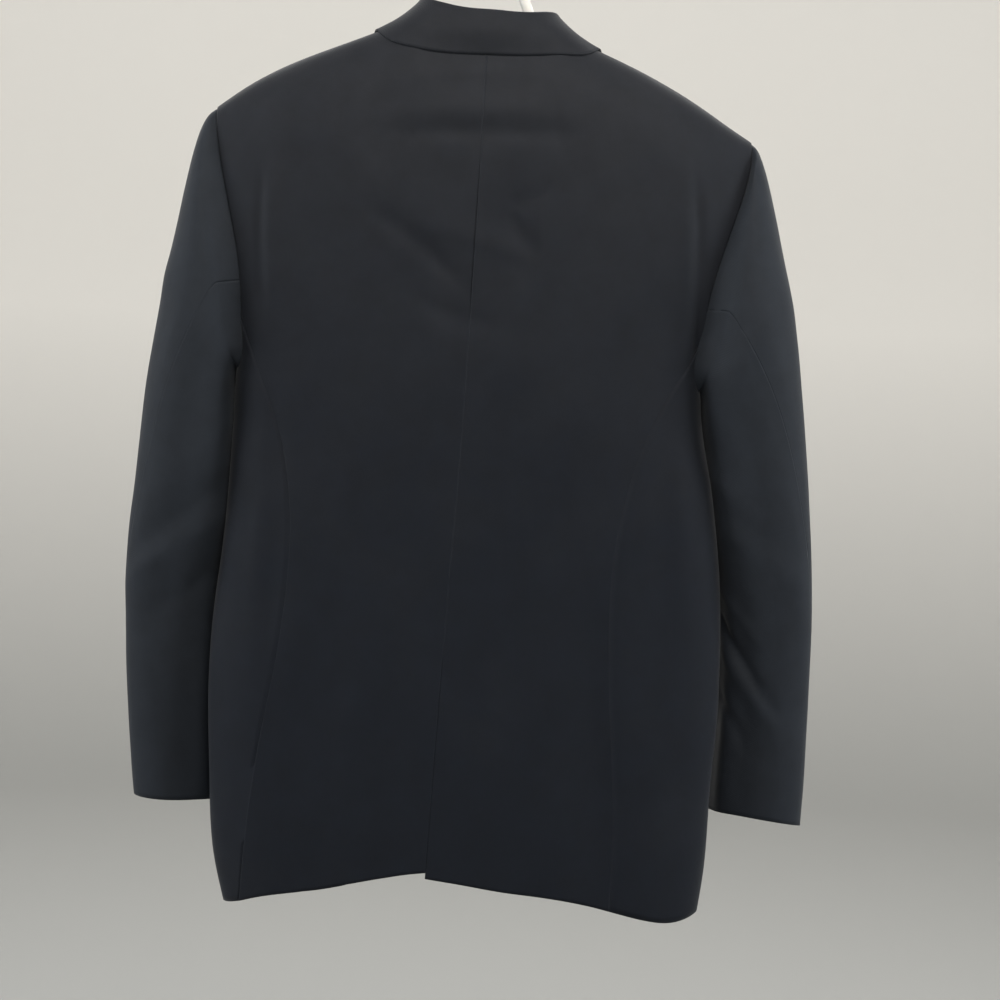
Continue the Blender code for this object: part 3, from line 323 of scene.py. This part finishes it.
# Folds of the body, as seen from behind: ends, swing of the middle, half width and height in
# millimetres. A trough has a height below zero.
bodyFolds = {
    "back": (
        (78, -152, -70, -146, -3, 8, 1.0),
        (84, -186, -80, -182, -2, 10, 2.0),
        (84, -206, -82, -202, -2, 6, -2.0),
        (99, -277, 18, -341, -4, 8, -2.8),
        (52, -290, -46, -318, -4, 9, 1.5),
        (-28, -268, -66, -250, 2, 6, -1.6),
        (-24, -274, -54, -312, 2, 8, -1.5),
        (60, -356, -18, -380, 4, 9, -1.4),
        (204, -244, 200, -366, 2, 5, -2.2),
        (193, -240, 190, -370, 2, 8, 1.4),
        (-198, -240, -205, -424, -3, 5, -2.4),
        (-187, -236, -194, -426, -3, 8, 1.5),
        (150, -180, 100, -250, 6, 14, 1.0),
        (-150, -190, -110, -250, -6, 14, 1.0),
        (60, -380, 10, -440, 5, 14, -0.8),
        (176, -430, 150, -560, 6, 13, 1.2),
        (-166, -450, -150, -580, -6, 12, 1.1),
        (120, -450, 70, -620, 10, 22, 0.8),
        (-90, -460, -60, -660, -8, 20, -0.8),
        (150, -620, 176, -900, 6, 16, 1.4),
        (118, -660, 132, -905, -4, 12, -1.1),
        (58, -700, 66, -890, 3, 15, 0.8),
        (-70, -690, -82, -900, 4, 14, 0.9),
        (-146, -640, -160, -905, 5, 13, 1.5),
        (-190, -600, -196, -900, -5, 12, -1.3),
        (196, -520, 214, -640, 4, 10, -1.2),
    ),
    "front": (
        (168, -190, 120, -300, 8, 15, 1.6),
        (-170, -200, -124, -310, -8, 15, 1.6),
        (14, -545, 120, -500, 6, 11, 1.7),
        (-20, -548, -116, -508, -5, 10, 1.5),
        (16, -560, 128, -610, -6, 12, -1.5),
        (-22, -556, -120, -600, 5, 11, -1.3),
        (150, -440, 176, -620, 6, 14, 1.5),
        (-160, -450, -176, -610, -5, 14, 1.4),
        (120, -720, 150, -915, 6, 17, 1.7),
        (-104, -720, -130, -915, -6, 17, 1.6),
        (60, -730, 74, -890, 4, 13, -1.2),
        (-168, -700, -186, -915, 4, 12, -1.3),
    ),
}

# Folds of a sleeve: angle in degrees round it (0 outer, 90 back, 180 inner) and height of both
# ends, swing, half width and height in millimetres
sleeveFolds = {
    "left": (
        (20, -250, 96, -300, 6, 14, 1.6),
        (30, -330, 120, -420, 8, 15, 1.8),
        (150, -470, 80, -540, -6, 12, 1.6),
        (160, -520, 60, -600, -8, 11, -2.0),
        (155, -560, 50, -628, -6, 12, 2.4),
        (150, -612, 64, -664, -5, 10, -1.8),
        (60, -700, 90, -800, 5, 13, 1.3),
        (-150, -520, -60, -590, 6, 12, -2.2),
        (-160, -575, -50, -640, 6, 12, 2.4),
        (-150, -640, -70, -690, 5, 11, -1.8),
        (-40, -320, -110, -420, 6, 14, 1.6),
    ),
    "right": (
        (20, -262, 100, -320, 6, 14, 1.6),
        (40, -350, 130, -450, 8, 15, 1.6),
        (165, -500, 90, -560, -6, 12, 1.5),
        (170, -612, 92, -672, -5, 8, 1.8),
        (172, -640, 84, -724, -6, 6, -3.6),
        (164, -668, 80, -748, -6, 9, 3.2),
        (166, -716, 110, -762, -4, 7, -2.4),
        (140, -560, 60, -612, -5, 12, 1.6),
        (80, -740, 96, -815, 4, 12, 1.2),
        (-150, -540, -60, -610, 6, 12, -2.2),
        (-160, -600, -50, -660, 6, 12, 2.6),
        (-40, -330, -110, -430, 6, 14, 1.6),
    ),
}

# A sleeve's fullness: angle round it and reach in degrees, top and foot in metres, and height in
# millimetres
sleeveSwell = (
    (138, 26, -0.26, -0.86, 8.0),
    (42, 24, -0.28, -0.86, 3.0),
    (182, 26, -0.30, -0.74, 6.5),
)


def foldLift(across, along, folds):
    lift = np.zeros(len(across))
    for across0, along0, across1, along1, swing, width, height in folds:
        run = math.hypot(across1 - across0, along1 - along0)
        cos, sin = (across1 - across0) / run, (along1 - along0) / run
        share = ((across - across0) * cos + (along - along0) * sin) / run
        aside = (along - along0) * cos - (across - across0) * sin - swing * 4 * share * (1 - share)
        ends = ease(share, -0.2, 0.25) * (1 - ease(share, 0.75, 1.2))
        lift += height * ends * np.exp(-((aside / width) ** 2))
    return lift


def ripple(across, along):  # slight unevenness that any hanging cloth has
    slow = np.sin(across / 31 + 1.7 * np.sin(along / 83)) * np.sin(along / 57 + 0.8)
    quick = np.sin(across / 13 + along / 29 + 0.6 * np.sin(along / 17))
    return 0.75 * slow + 0.22 * quick


# The vent's upper side stands off a little, beside a seam that slants out towards the hem
ventLook = {"top": -0.70, "over": 0.03, "lift": 0.2 * mm, "reach": 0.05, "slant": 0.031}
# The body's sides fill out under the sleeves, lift in millimetres
bodySwell = {"lift": 4.0, "across": (0.175, 0.20), "from": (0.40, 0.45), "to": (0.72, 0.82)}
# The collar's fall lies close against the back near its edge
collarPress = {"edge": -0.128, "rise": 1.7, "reach": 0.024, "depth": 2.35 * mm, "sides": (0.05, 0.10)}
bodyDepth = {"back": 0.058, "front": 0.062, "half": 0.232}
# Folds and ripple fade out towards the sides, and ripple also beside the armholes
bodyCalm = {"folds": (0.008, 0.034), "ripple": (0.008, 0.030), "across": (0.185, 0.215), "up": (-0.46, -0.40)}


def bodyDraped(places, name):
    x, y, z = places.T
    outward = np.stack([
        np.sign(x) * (x / bodyDepth["half"]) ** 2 / bodyDepth["half"],
        np.sign(y) * (y / bodyDepth["back"]) ** 2 / bodyDepth["back"] + 1e-9,
        np.zeros(len(x)),
    ], axis=1)
    outward /= np.linalg.norm(outward, axis=1)[:, None]
    lift = np.zeros(len(x))
    for face, sign in (("back", 1), ("front", -1)):
        lift += foldLift(x / mm, z / mm, bodyFolds[face]) * ease(sign * y, *bodyCalm["folds"])
    calm = ease(np.abs(x), *bodyCalm["across"]) * ease(z, *bodyCalm["up"])
    lift += ripple(x / mm, z / mm) * (1 - calm) * ease(np.abs(y), *bodyCalm["ripple"])
    swell = ease(-z, *bodySwell["from"]) * (1 - ease(-z, *bodySwell["to"]))
    lift += bodySwell["lift"] * ease(np.abs(x), *bodySwell["across"]) * swell
    moved = places + outward * (lift * mm)[:, None]
    if name == "collar":
        edge = collarPress["edge"] + collarPress["rise"] * x ** 2
        low = collarPress["depth"] * (1 - ease(z - edge, 0, collarPress["reach"])) * ease(y, 0.006, 0.02)
        aside = ease(np.abs(x), *collarPress["sides"])
        moved[:, 1] -= low * (1 - 0.7 * aside)
        moved[:, 2] -= low * aside
    if name == "back_left":
        seam = ventLook["slant"] * ease(-z, 0.1, 0.9)
        near = 1 - ease(x - seam, 0, ventLook["reach"])
        below = 1 - ease(z, ventLook["top"], ventLook["top"] + ventLook["over"])
        moved[:, 1] += ventLook["lift"] * near * below
    return moved


# A sleeve's folds lie round a smooth line through its middle, which stays still above top. They
# come in below the sleeve's head, and only where it stands clear of the armhole.
sleeveLine = {"from": -0.82, "to": -0.42, "step": 0.04, "near": 0.03, "top": -0.3}
sleeveCalm = {"head": (0.24, 0.34), "across": (0.235, 0.262), "below": (0.37, 0.42)}
sleeveRound = 0.055  # its usual radius


def sleeveAxis(side):  # the middle of the sleeve's rings at each height, smoothed
    cloud = np.vstack([points(nodes[f"{part}_sleeve_{side}"].data) for part in ("top", "under")])
    heights = np.arange(sleeveLine["from"], sleeveLine["to"], sleeveLine["step"])
    middles = []
    for height in heights:
        ring = cloud[np.abs(cloud[:, 2] - height) < sleeveLine["near"]]
        middles.append((ring.min(axis=0) + ring.max(axis=0)) / 2)
    middles = np.array(middles)
    return [np.polyfit(heights, middles[:, axis], 2) for axis in (0, 1)]


def sleeveDraped(places, side):
    x, y, z = places.T
    sign = 1 if side == "left" else -1
    middleX, middleY = (np.polyval(fit, np.minimum(z, sleeveLine["top"])) for fit in sleeveAxis(side))
    outX, outY = (x - middleX) * sign, y - middleY
    radius = np.hypot(outX, outY)
    angle = np.degrees(np.arctan2(outY, outX))
    lift = np.zeros(len(x))
    arc = sleeveRound / mm * math.pi / 180  # millimetres of cloth for each degree round the sleeve
    for around, reach, high, low, height in sleeveSwell:
        near = np.exp(-(((angle - around + 180) % 360 - 180) / reach) ** 2)
        lift += height * near * ease(-z, -high, -high + 0.08) * (1 - ease(-z, -low - 0.06, -low + 0.02))
    folds = [(a0 * arc, z0, a1 * arc, z1, *rest) for a0, z0, a1, z1, *rest in sleeveFolds[side]]
    for turn in (-360, 0, 360):  # a fold may cross the line where the angle starts again
        lift += foldLift((angle + turn) * arc, z / mm, folds)
    lift += ripple(angle * 0.9 * sign + 40 * np.cos(np.radians(angle)), z / mm)
    clear = np.maximum(ease(np.abs(x), *sleeveCalm["across"]), ease(-z, *sleeveCalm["below"]))
    lift *= ease(-z, *sleeveCalm["head"]) * clear
    push = lift * mm / np.maximum(radius, 0.02)
    return places + np.stack([outX * push * sign, outY * push, np.zeros(len(x))], axis=1)


# Cloth: each piece is its solid's form, made smooth, with its folds, and its edges softened.
# finer: how often the solid's faces are halved. flat: the cut's width and length. cut: its area.
clothPieces = {
    "back_left": {"finer": 3, "flat": (0.27, 0.86), "cut": 0.16},
    "back_right": {"finer": 3, "flat": (0.27, 0.86), "cut": 0.16},
    "side_left": {"finer": 2, "flat": (0.16, 0.56), "cut": 0.07},
    "side_right": {"finer": 2, "flat": (0.18, 0.60), "cut": 0.086},
    "front_left": {"finer": 3, "flat": (0.28, 0.88), "cut": 0.18},
    "front_right": {"finer": 3, "flat": (0.28, 0.88), "cut": 0.18},
    "lapel_left": {"finer": 2, "flat": (0.09, 0.39), "cut": 0.022},
    "lapel_right": {"finer": 2, "flat": (0.09, 0.39), "cut": 0.022},
    "collar": {"finer": 2, "flat": (0.10, 0.50), "cut": 0.031},
    "top_sleeve_left": {"finer": 3, "flat": (0.22, 0.68), "cut": 0.113},
    "top_sleeve_right": {"finer": 3, "flat": (0.22, 0.68), "cut": 0.113},
    "under_sleeve_left": {"finer": 3, "flat": (0.17, 0.62), "cut": 0.072},
    "under_sleeve_right": {"finer": 3, "flat": (0.17, 0.62), "cut": 0.072},
    "flap_left": {"finer": 2, "flat": (0.125, 0.055), "cut": 0.0065},
    "flap_right": {"finer": 2, "flat": (0.125, 0.055), "cut": 0.0065},
    "breast_welt": {"finer": 2, "flat": (0.085, 0.025), "cut": 0.0021},
}
edgeLook = {"sharper": math.radians(48), "reach": 0.36 * mm, "round": 0.05 * mm}


def shellFrom(name, finer):
    mesh = nodes[name].data.copy()
    mesh.materials.clear()
    shape = bmesh.new()
    shape.from_mesh(mesh)
    bmesh.ops.remove_doubles(shape, verts=shape.verts, dist=2e-6)
    for edge in shape.edges:
        edge.smooth = edge.calc_face_angle(0) < edgeLook["sharper"]
    bmesh.ops.join_triangles(
        shape, faces=shape.faces, cmp_sharp=True,
        angle_face_threshold=math.pi, angle_shape_threshold=math.pi,
    )
    if name != "hanger":
        closeSeams(shape)
    crease = shape.edges.layers.float.new("crease_edge")
    for edge in shape.edges:
        edge[crease] = 0.0 if edge.smooth else 1.0
    shape.to_mesh(mesh)
    shape.free()
    piece = newObject(f"cloth_{name}", mesh)
    halve = piece.modifiers.new("finer", "SUBSURF")
    halve.levels = finer
    halve.render_levels = finer
    applied(piece)
    softenEdges(piece.data)
    return piece


def softenEdges(mesh):  # every folded edge rolls over instead of ending sharp
    shape = bmesh.new()
    shape.from_mesh(mesh)
    shape.normal_update()
    edge = {
        vert: vert.normal.copy() for line in shape.edges
        if line.calc_face_angle(0) > edgeLook["sharper"] for vert in line.verts
    }
    for vert, way in edge.items():
        vert.co -= way * edgeLook["round"]
    shape.to_mesh(mesh)
    shape.free()


def closeSeams(shape):  # the rim round a wall moves out, so that sewn pieces meet
    shape.normal_update()
    moves = {}
    for face in shape.faces:
        sharp = [not edge.smooth for edge in face.edges]
        if len(sharp) == 4 and (sharp[0] and sharp[2] or sharp[1] and sharp[3]):
            for vert in face.verts:
                moves[vert] = moves.get(vert, Vector()) + face.normal
    for vert, way in moves.items():
        vert.co += way.normalized() * edgeLook["reach"]


def makeCloth(name, look):
    piece = shellFrom(name, look["finer"])
    places = points(piece.data)
    if "sleeve" in name:
        places = sleeveDraped(places, name.rsplit("_", 1)[1])
    else:
        places = bodyDraped(places, name)
    setPoints(piece.data, places)
    piece.data.shade_smooth()
    piece.data.set_sharp_from_angle(angle=edgeLook["sharper"])
    # sleeves take the copy of the wool that is painted lighter
    piece.data.materials.append(litSleeveWool if "sleeve" in name else bodyWool)
    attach(piece, "root")
    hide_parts(name)
    return piece


cloth = {name: makeCloth(name, look) for name, look in clothPieces.items()}
print("cloth made,", sum(len(piece.data.polygons) for piece in cloth.values()), "faces")


# Stitching: rows near the edges, and worked buttonholes. All are in millimetres.

stitchRows = (
    # piece, the edge the row runs by, its start and end along that edge, its distance from it
    ("lapel_left", "+x", -200, -504, 4.0),
    ("lapel_right", "-x", -200, -504, 4.0),
    ("front_left", "-x", -532, -905, 5.0),
    ("flap_left", "-z", 82, 188, 4.0),
    ("flap_right", "-z", -82, -188, 4.0),
    ("breast_welt", "+z", 132, 204, 3.0),
)
buttonholes = (
    # piece and both ends, across and up
    ("front_left", (-17, -548), (6, -548)),
    ("front_left", (-17, -648), (6, -648)),
    ("lapel_left", (125, -203), (105, -214)),
)
stitchLook = {
    "apart": 5.0,
    "long": 2.2,
    "thick": 0.45,
    "proud": 0.05,
    "whipApart": 0.7,
    "whipLong": 1.7,
    "slit": 1.1,  # from a buttonhole's middle line to the thread at each side
}


def onFront(name, across, up):  # the spot on a piece that is seen from before, and its normal
    met, spot, normal, _ = cloth[name].ray_cast(Vector((across * mm, -0.3, up * mm)), Vector((0, 1, 0)))
    return (spot, normal) if met else None


def addStitch(shape, spot, normal, along, long):
    along = (along - normal * along.dot(normal)).normalized()
    turn = Matrix((normal.cross(along), normal, along)).transposed().to_4x4()
    thick = stitchLook["thick"] * mm
    bmesh.ops.create_cone(
        shape, cap_ends=True, segments=6, radius1=thick / 2, radius2=thick / 2, depth=long * mm,
        matrix=Matrix.Translation(spot + normal * stitchLook["proud"] * mm) @ turn,
    )


def addRow(shape, name, edge, start, end, inset):
    cloud = points(cloth[name].data) / mm
    across, along = (0, 2) if edge[1] == "x" else (2, 0)
    sign = 1 if edge[0] == "+" else -1
    steps = np.arange(start, end, math.copysign(stitchLook["apart"], end - start))
    reach = []
    for step in steps:
        near = cloud[np.abs(cloud[:, along] - step) < 3]
        reach.append((near[:, across] * sign).max() - inset)
    reach = sign * np.convolve(np.pad(reach, 2, mode="edge"), np.ones(5) / 5, mode="valid")
    pairs = zip(reach, steps) if edge[1] == "x" else zip(steps, reach)
    spots = [spot for spot in (onFront(name, *pair) for pair in pairs) if spot]
    for before, here, after in zip(spots, spots[1:], spots[2:]):
        addStitch(shape, *here, after[0] - before[0], stitchLook["long"])


def addButtonhole(shape, name, start, end):
    start, end = np.array(start, float), np.array(end, float)
    run = np.linalg.norm(end - start)
    along = (end - start) / run
    aside = np.array((-along[1], along[0]))
    for far in np.arange(0, run, stitchLook["whipApart"]):
        for side in (-1, 1):
            spot = onFront(name, *(start + along * far + aside * side * stitchLook["slit"]))
            if spot:
                addStitch(shape, *spot, Vector((aside[0], 0, aside[1])), stitchLook["whipLong"])


def makeStitching():
    shape = bmesh.new()
    for row in stitchRows:
        addRow(shape, *row)
    for hole in buttonholes:
        addButtonhole(shape, *hole)
    mesh = bpy.data.meshes.new("stitching")
    shape.to_mesh(mesh)
    shape.free()
    mesh.shade_smooth()
    mesh.materials.append(thread)
    piece = newObject("stitching", mesh)
    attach(piece, "root")


makeStitching()
print("stitching made")


# The hanger: its solid, smoothed

def makeHanger():
    piece = shellFrom("hanger", 2)
    piece.name = "hanger_shell"
    piece.data.shade_smooth()
    piece.data.materials.append(hangerPlastic)
    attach(piece, "root")
    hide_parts("hanger")


makeHanger()


# Buttons: turned, dished and sewn on through four holes

buttonShape = {  # as shares of its radius. The profile is out and up, from the middle round the rim.
    "profile": ((0, 0.20), (0.42, 0.20), (0.60, 0.24), (0.72, 0.34), (0.84, 0.37), (0.94, 0.32), (1.0, 0.2),
                (0.98, 0.08), (0.86, 0.0), (0, 0.0)),
    "around": 48,
    "holeOut": 0.24,
    "holeRadius": 0.085,
    "strandRadius": 0.035,
    "strandHeight": 0.215,
}


def makeButton(name):
    solid = points(nodes[name].data)
    middle = solid.mean(axis=0)
    _, _, ways = np.linalg.svd(solid - middle)
    axis = ways[2] * (1 if ways[2] @ np.array([np.sign(middle[0]) * 0.4, -1, 0]) > 0 else -1)
    radius = np.linalg.norm(np.cross(solid - middle, axis), axis=1).max()
    foot = middle + axis * ((solid - middle) @ axis).min()
    shape = bmesh.new()
    rings = []
    for share, height in buttonShape["profile"]:
        around = buttonShape["around"] if share else 1
        rings.append([
            shape.verts.new((
                share * radius * math.cos(math.tau * step / around),
                share * radius * math.sin(math.tau * step / around),
                height * radius,
            ))
            for step in range(around)
        ])
    for low, high in zip(rings, rings[1:]):
        for step in range(buttonShape["around"]):
            after = (step + 1) % buttonShape["around"]
            corners = [
                low[step % len(low)], low[after % len(low)],
                high[after % len(high)], high[step % len(high)],
            ]
            shape.faces.new(list(dict.fromkeys(corners)))
    bmesh.ops.recalc_face_normals(shape, faces=shape.faces)
    mesh = bpy.data.meshes.new(f"sewn_{name}")
    shape.to_mesh(mesh)
    shape.free()
    piece = newObject(f"sewn_{name}", mesh)
    holes = bmesh.new()
    for step in range(4):
        turn = math.tau * (step + 0.5) / 4
        place = Matrix.Translation((
            buttonShape["holeOut"] * radius * math.cos(turn),
            buttonShape["holeOut"] * radius * math.sin(turn),
            0.1 * radius,
        ))
        bmesh.ops.create_cone(
            holes, cap_ends=True, segments=12, radius1=buttonShape["holeRadius"] * radius,
            radius2=buttonShape["holeRadius"] * radius, depth=radius, matrix=place,
        )
    drillMesh = bpy.data.meshes.new("drill")
    holes.to_mesh(drillMesh)
    holes.free()
    drill = newObject("drill", drillMesh)
    cut = piece.modifiers.new("holes", "BOOLEAN")
    cut.operation = "DIFFERENCE"
    cut.solver = "EXACT"
    cut.object = drill
    applied(piece)
    bpy.data.objects.remove(drill)
    piece.matrix_world = (
        Matrix.Translation(Vector(foot)) @ Vector(axis).to_track_quat("Z", "Y").to_matrix().to_4x4()
    )
    piece.data.shade_smooth()
    piece.data.set_sharp_from_angle(angle=math.radians(40))
    piece.data.materials.append(buttonPlastic)
    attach(piece, "root")
    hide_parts(name)
    makeButtonThread(piece, name, radius)


def makeButtonThread(button, name, radius):
    mesh = bpy.data.meshes.new(f"thread_{name}")
    shape = bmesh.new()
    reach = buttonShape["holeOut"] * radius
    for way in (-1, 1):
        for strand in (-0.35, 0.35):
            aside = way * reach * 0.707 + strand * buttonShape["holeRadius"] * radius * 1.3
            height = buttonShape["strandHeight"] * radius
            thick = buttonShape["strandRadius"] * radius
            place = Matrix.Translation((aside, 0, height)) @ Matrix.Rotation(math.pi / 2, 4, "X")
            bmesh.ops.create_cone(
                shape, cap_ends=True, segments=8, radius1=thick, radius2=thick, depth=reach * 1.5,
                matrix=place,
            )
    shape.to_mesh(mesh)
    shape.free()
    piece = newObject(f"thread_{name}", mesh)
    piece.matrix_world = button.matrix_world.copy()
    mesh.shade_smooth()
    mesh.materials.append(thread)
    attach(piece, "root")


for name in nodes:
    if "button" in name:
        makeButton(name)
print("buttons made")


# Stage, light and camera

stageLook = {
    "floor": -1.45,
    "radius": 6.5,
    "bend": 2.2,
    "high": 0.2,
    "colour": (0.81, 0.79, 0.75, 1),
    "paintedShadeColour": (0.375, 0.377, 0.365, 1),  # painted shade: darker at the floor, turning to colour at the height of high
    "roomColour": (0.93, 0.95, 1.0, 1),
    "roomLight": 0.25,
}


def makeStage():
    floor, radius, bend = stageLook["floor"], stageLook["radius"], stageLook["bend"]
    profile = [(0.0, floor), (radius - bend, floor)]
    for step in range(1, 13):
        turn = math.pi / 2 * step / 12
        profile.append((radius - bend + bend * math.sin(turn), floor + bend - bend * math.cos(turn)))
    profile.append((radius, floor + 7))
    shape = bmesh.new()
    line = [shape.verts.new((out, 0, height)) for out, height in profile]
    edges = [shape.edges.new(pair) for pair in zip(line, line[1:])]
    bmesh.ops.spin(
        shape, geom=line + edges, cent=(0, 0, 0), axis=(0, 0, 1), angle=math.tau, steps=96, use_merge=True
    )
    bmesh.ops.remove_doubles(shape, verts=shape.verts, dist=1e-5)
    mesh = bpy.data.meshes.new("stage")
    shape.to_mesh(mesh)
    shape.free()
    stage = newObject("stage", mesh)
    mesh.shade_smooth()
    material = bpy.data.materials.new("paleStage")
    material.use_nodes = True
    shader = material.node_tree.nodes["Principled BSDF"]
    tree = material.node_tree
    split = tree.nodes.new("ShaderNodeSeparateXYZ")
    tree.links.new(tree.nodes.new("ShaderNodeNewGeometry").outputs["Position"], split.inputs[0])
    # Painted shade: the stage's colour darkens towards the floor
    rise = tree.nodes.new("ShaderNodeMapRange")
    rise.inputs["From Min"].default_value = floor
    rise.inputs["From Max"].default_value = stageLook["high"]
    tree.links.new(split.outputs["Z"], rise.inputs["Value"])
    blend = mixed(tree, rise.outputs["Result"])
    blend.inputs["A"].default_value = stageLook["paintedShadeColour"]
    blend.inputs["B"].default_value = stageLook["colour"]
    tree.links.new(blend.outputs["Result"], shader.inputs["Base Color"])
    shader.inputs["Roughness"].default_value = 0.9
    shader.inputs["Specular IOR Level"].default_value = 0.1
    mesh.materials.append(material)


lights = (
    # name, place, aim, size, watts, colour
    ("topLight", (-0.1, 1.05, 0.85), (0, 0, -0.25), 1.0, 19, (1.0, 0.94, 0.86)),
    ("keyLight", (-0.6, 2.2, 1.6), (0, 0, -0.35), 1.2, 6, (1.0, 0.96, 0.90)),
    ("sideLightLeft", (2.1, 0.62, 0.0), (0, 0, -0.42), 0.9, 28, (0.93, 0.97, 1.0)),
    ("sideLightRight", (-2.1, 0.62, 0.0), (0, 0, -0.42), 0.9, 28, (0.93, 0.97, 1.0)),
    ("frontLightLeft", (0.8, -1.5, 1.0), (0, 0, -0.35), 1.2, 12, (1.0, 0.98, 0.96)),
    ("frontLightRight", (-0.8, -1.5, 1.0), (0, 0, -0.35), 1.2, 12, (1.0, 0.98, 0.96)),
    ("wallLightBehind", (0, -1.6, 2.8), (0, -6.5, 0.2), 2.0, 130, (1.0, 0.99, 0.97)),
    ("wallLightBefore", (0, 1.6, 2.8), (0, 6.5, 0.2), 2.0, 45, (1.0, 0.99, 0.97)),
    ("wallLightLeft", (1.6, 0, 2.8), (6.5, 0, 0.2), 2.0, 50, (1.0, 0.99, 0.97)),
    ("wallLightRight", (-1.6, 0, 2.8), (-6.5, 0, 0.2), 2.0, 50, (1.0, 0.99, 0.97)),
)


def makeLights():
    for name, place, aim, size, watts, colour in lights:
        data = bpy.data.lights.new(name, "AREA")
        data.shape = "DISK"
        data.size = size
        data.energy = watts
        data.color = colour
        lamp = newObject(name, data)
        lamp.location = place
        lamp.rotation_euler = (Vector(aim) - Vector(place)).to_track_quat("-Z", "Y").to_euler()
    world = bpy.data.worlds.new("softRoom")
    world.use_nodes = True
    room = world.node_tree.nodes["Background"]
    room.inputs["Color"].default_value = stageLook["roomColour"]
    room.inputs["Strength"].default_value = stageLook["roomLight"]
    bpy.context.scene.world = world


cameraLook = {"place": (-0.0266, 1.855, -0.5394), "roll": 2.0, "lens": 70.4}


def makeCamera():
    data = bpy.data.cameras.new("camera")
    data.lens = cameraLook["lens"]
    data.sensor_width = 36
    camera = newObject("camera", data)
    facing = Vector((0, -1, 0)).to_track_quat("-Z", "Y").to_matrix()
    turn = Matrix.Rotation(math.radians(cameraLook["roll"]), 3, "Z")
    camera.matrix_world = Matrix.Translation(cameraLook["place"]) @ (facing @ turn).to_4x4()
    bpy.context.scene.camera = camera


makeStage()
makeLights()
makeCamera()
bpy.context.scene.view_settings.view_transform = "Standard"
print("stage, light and camera set")
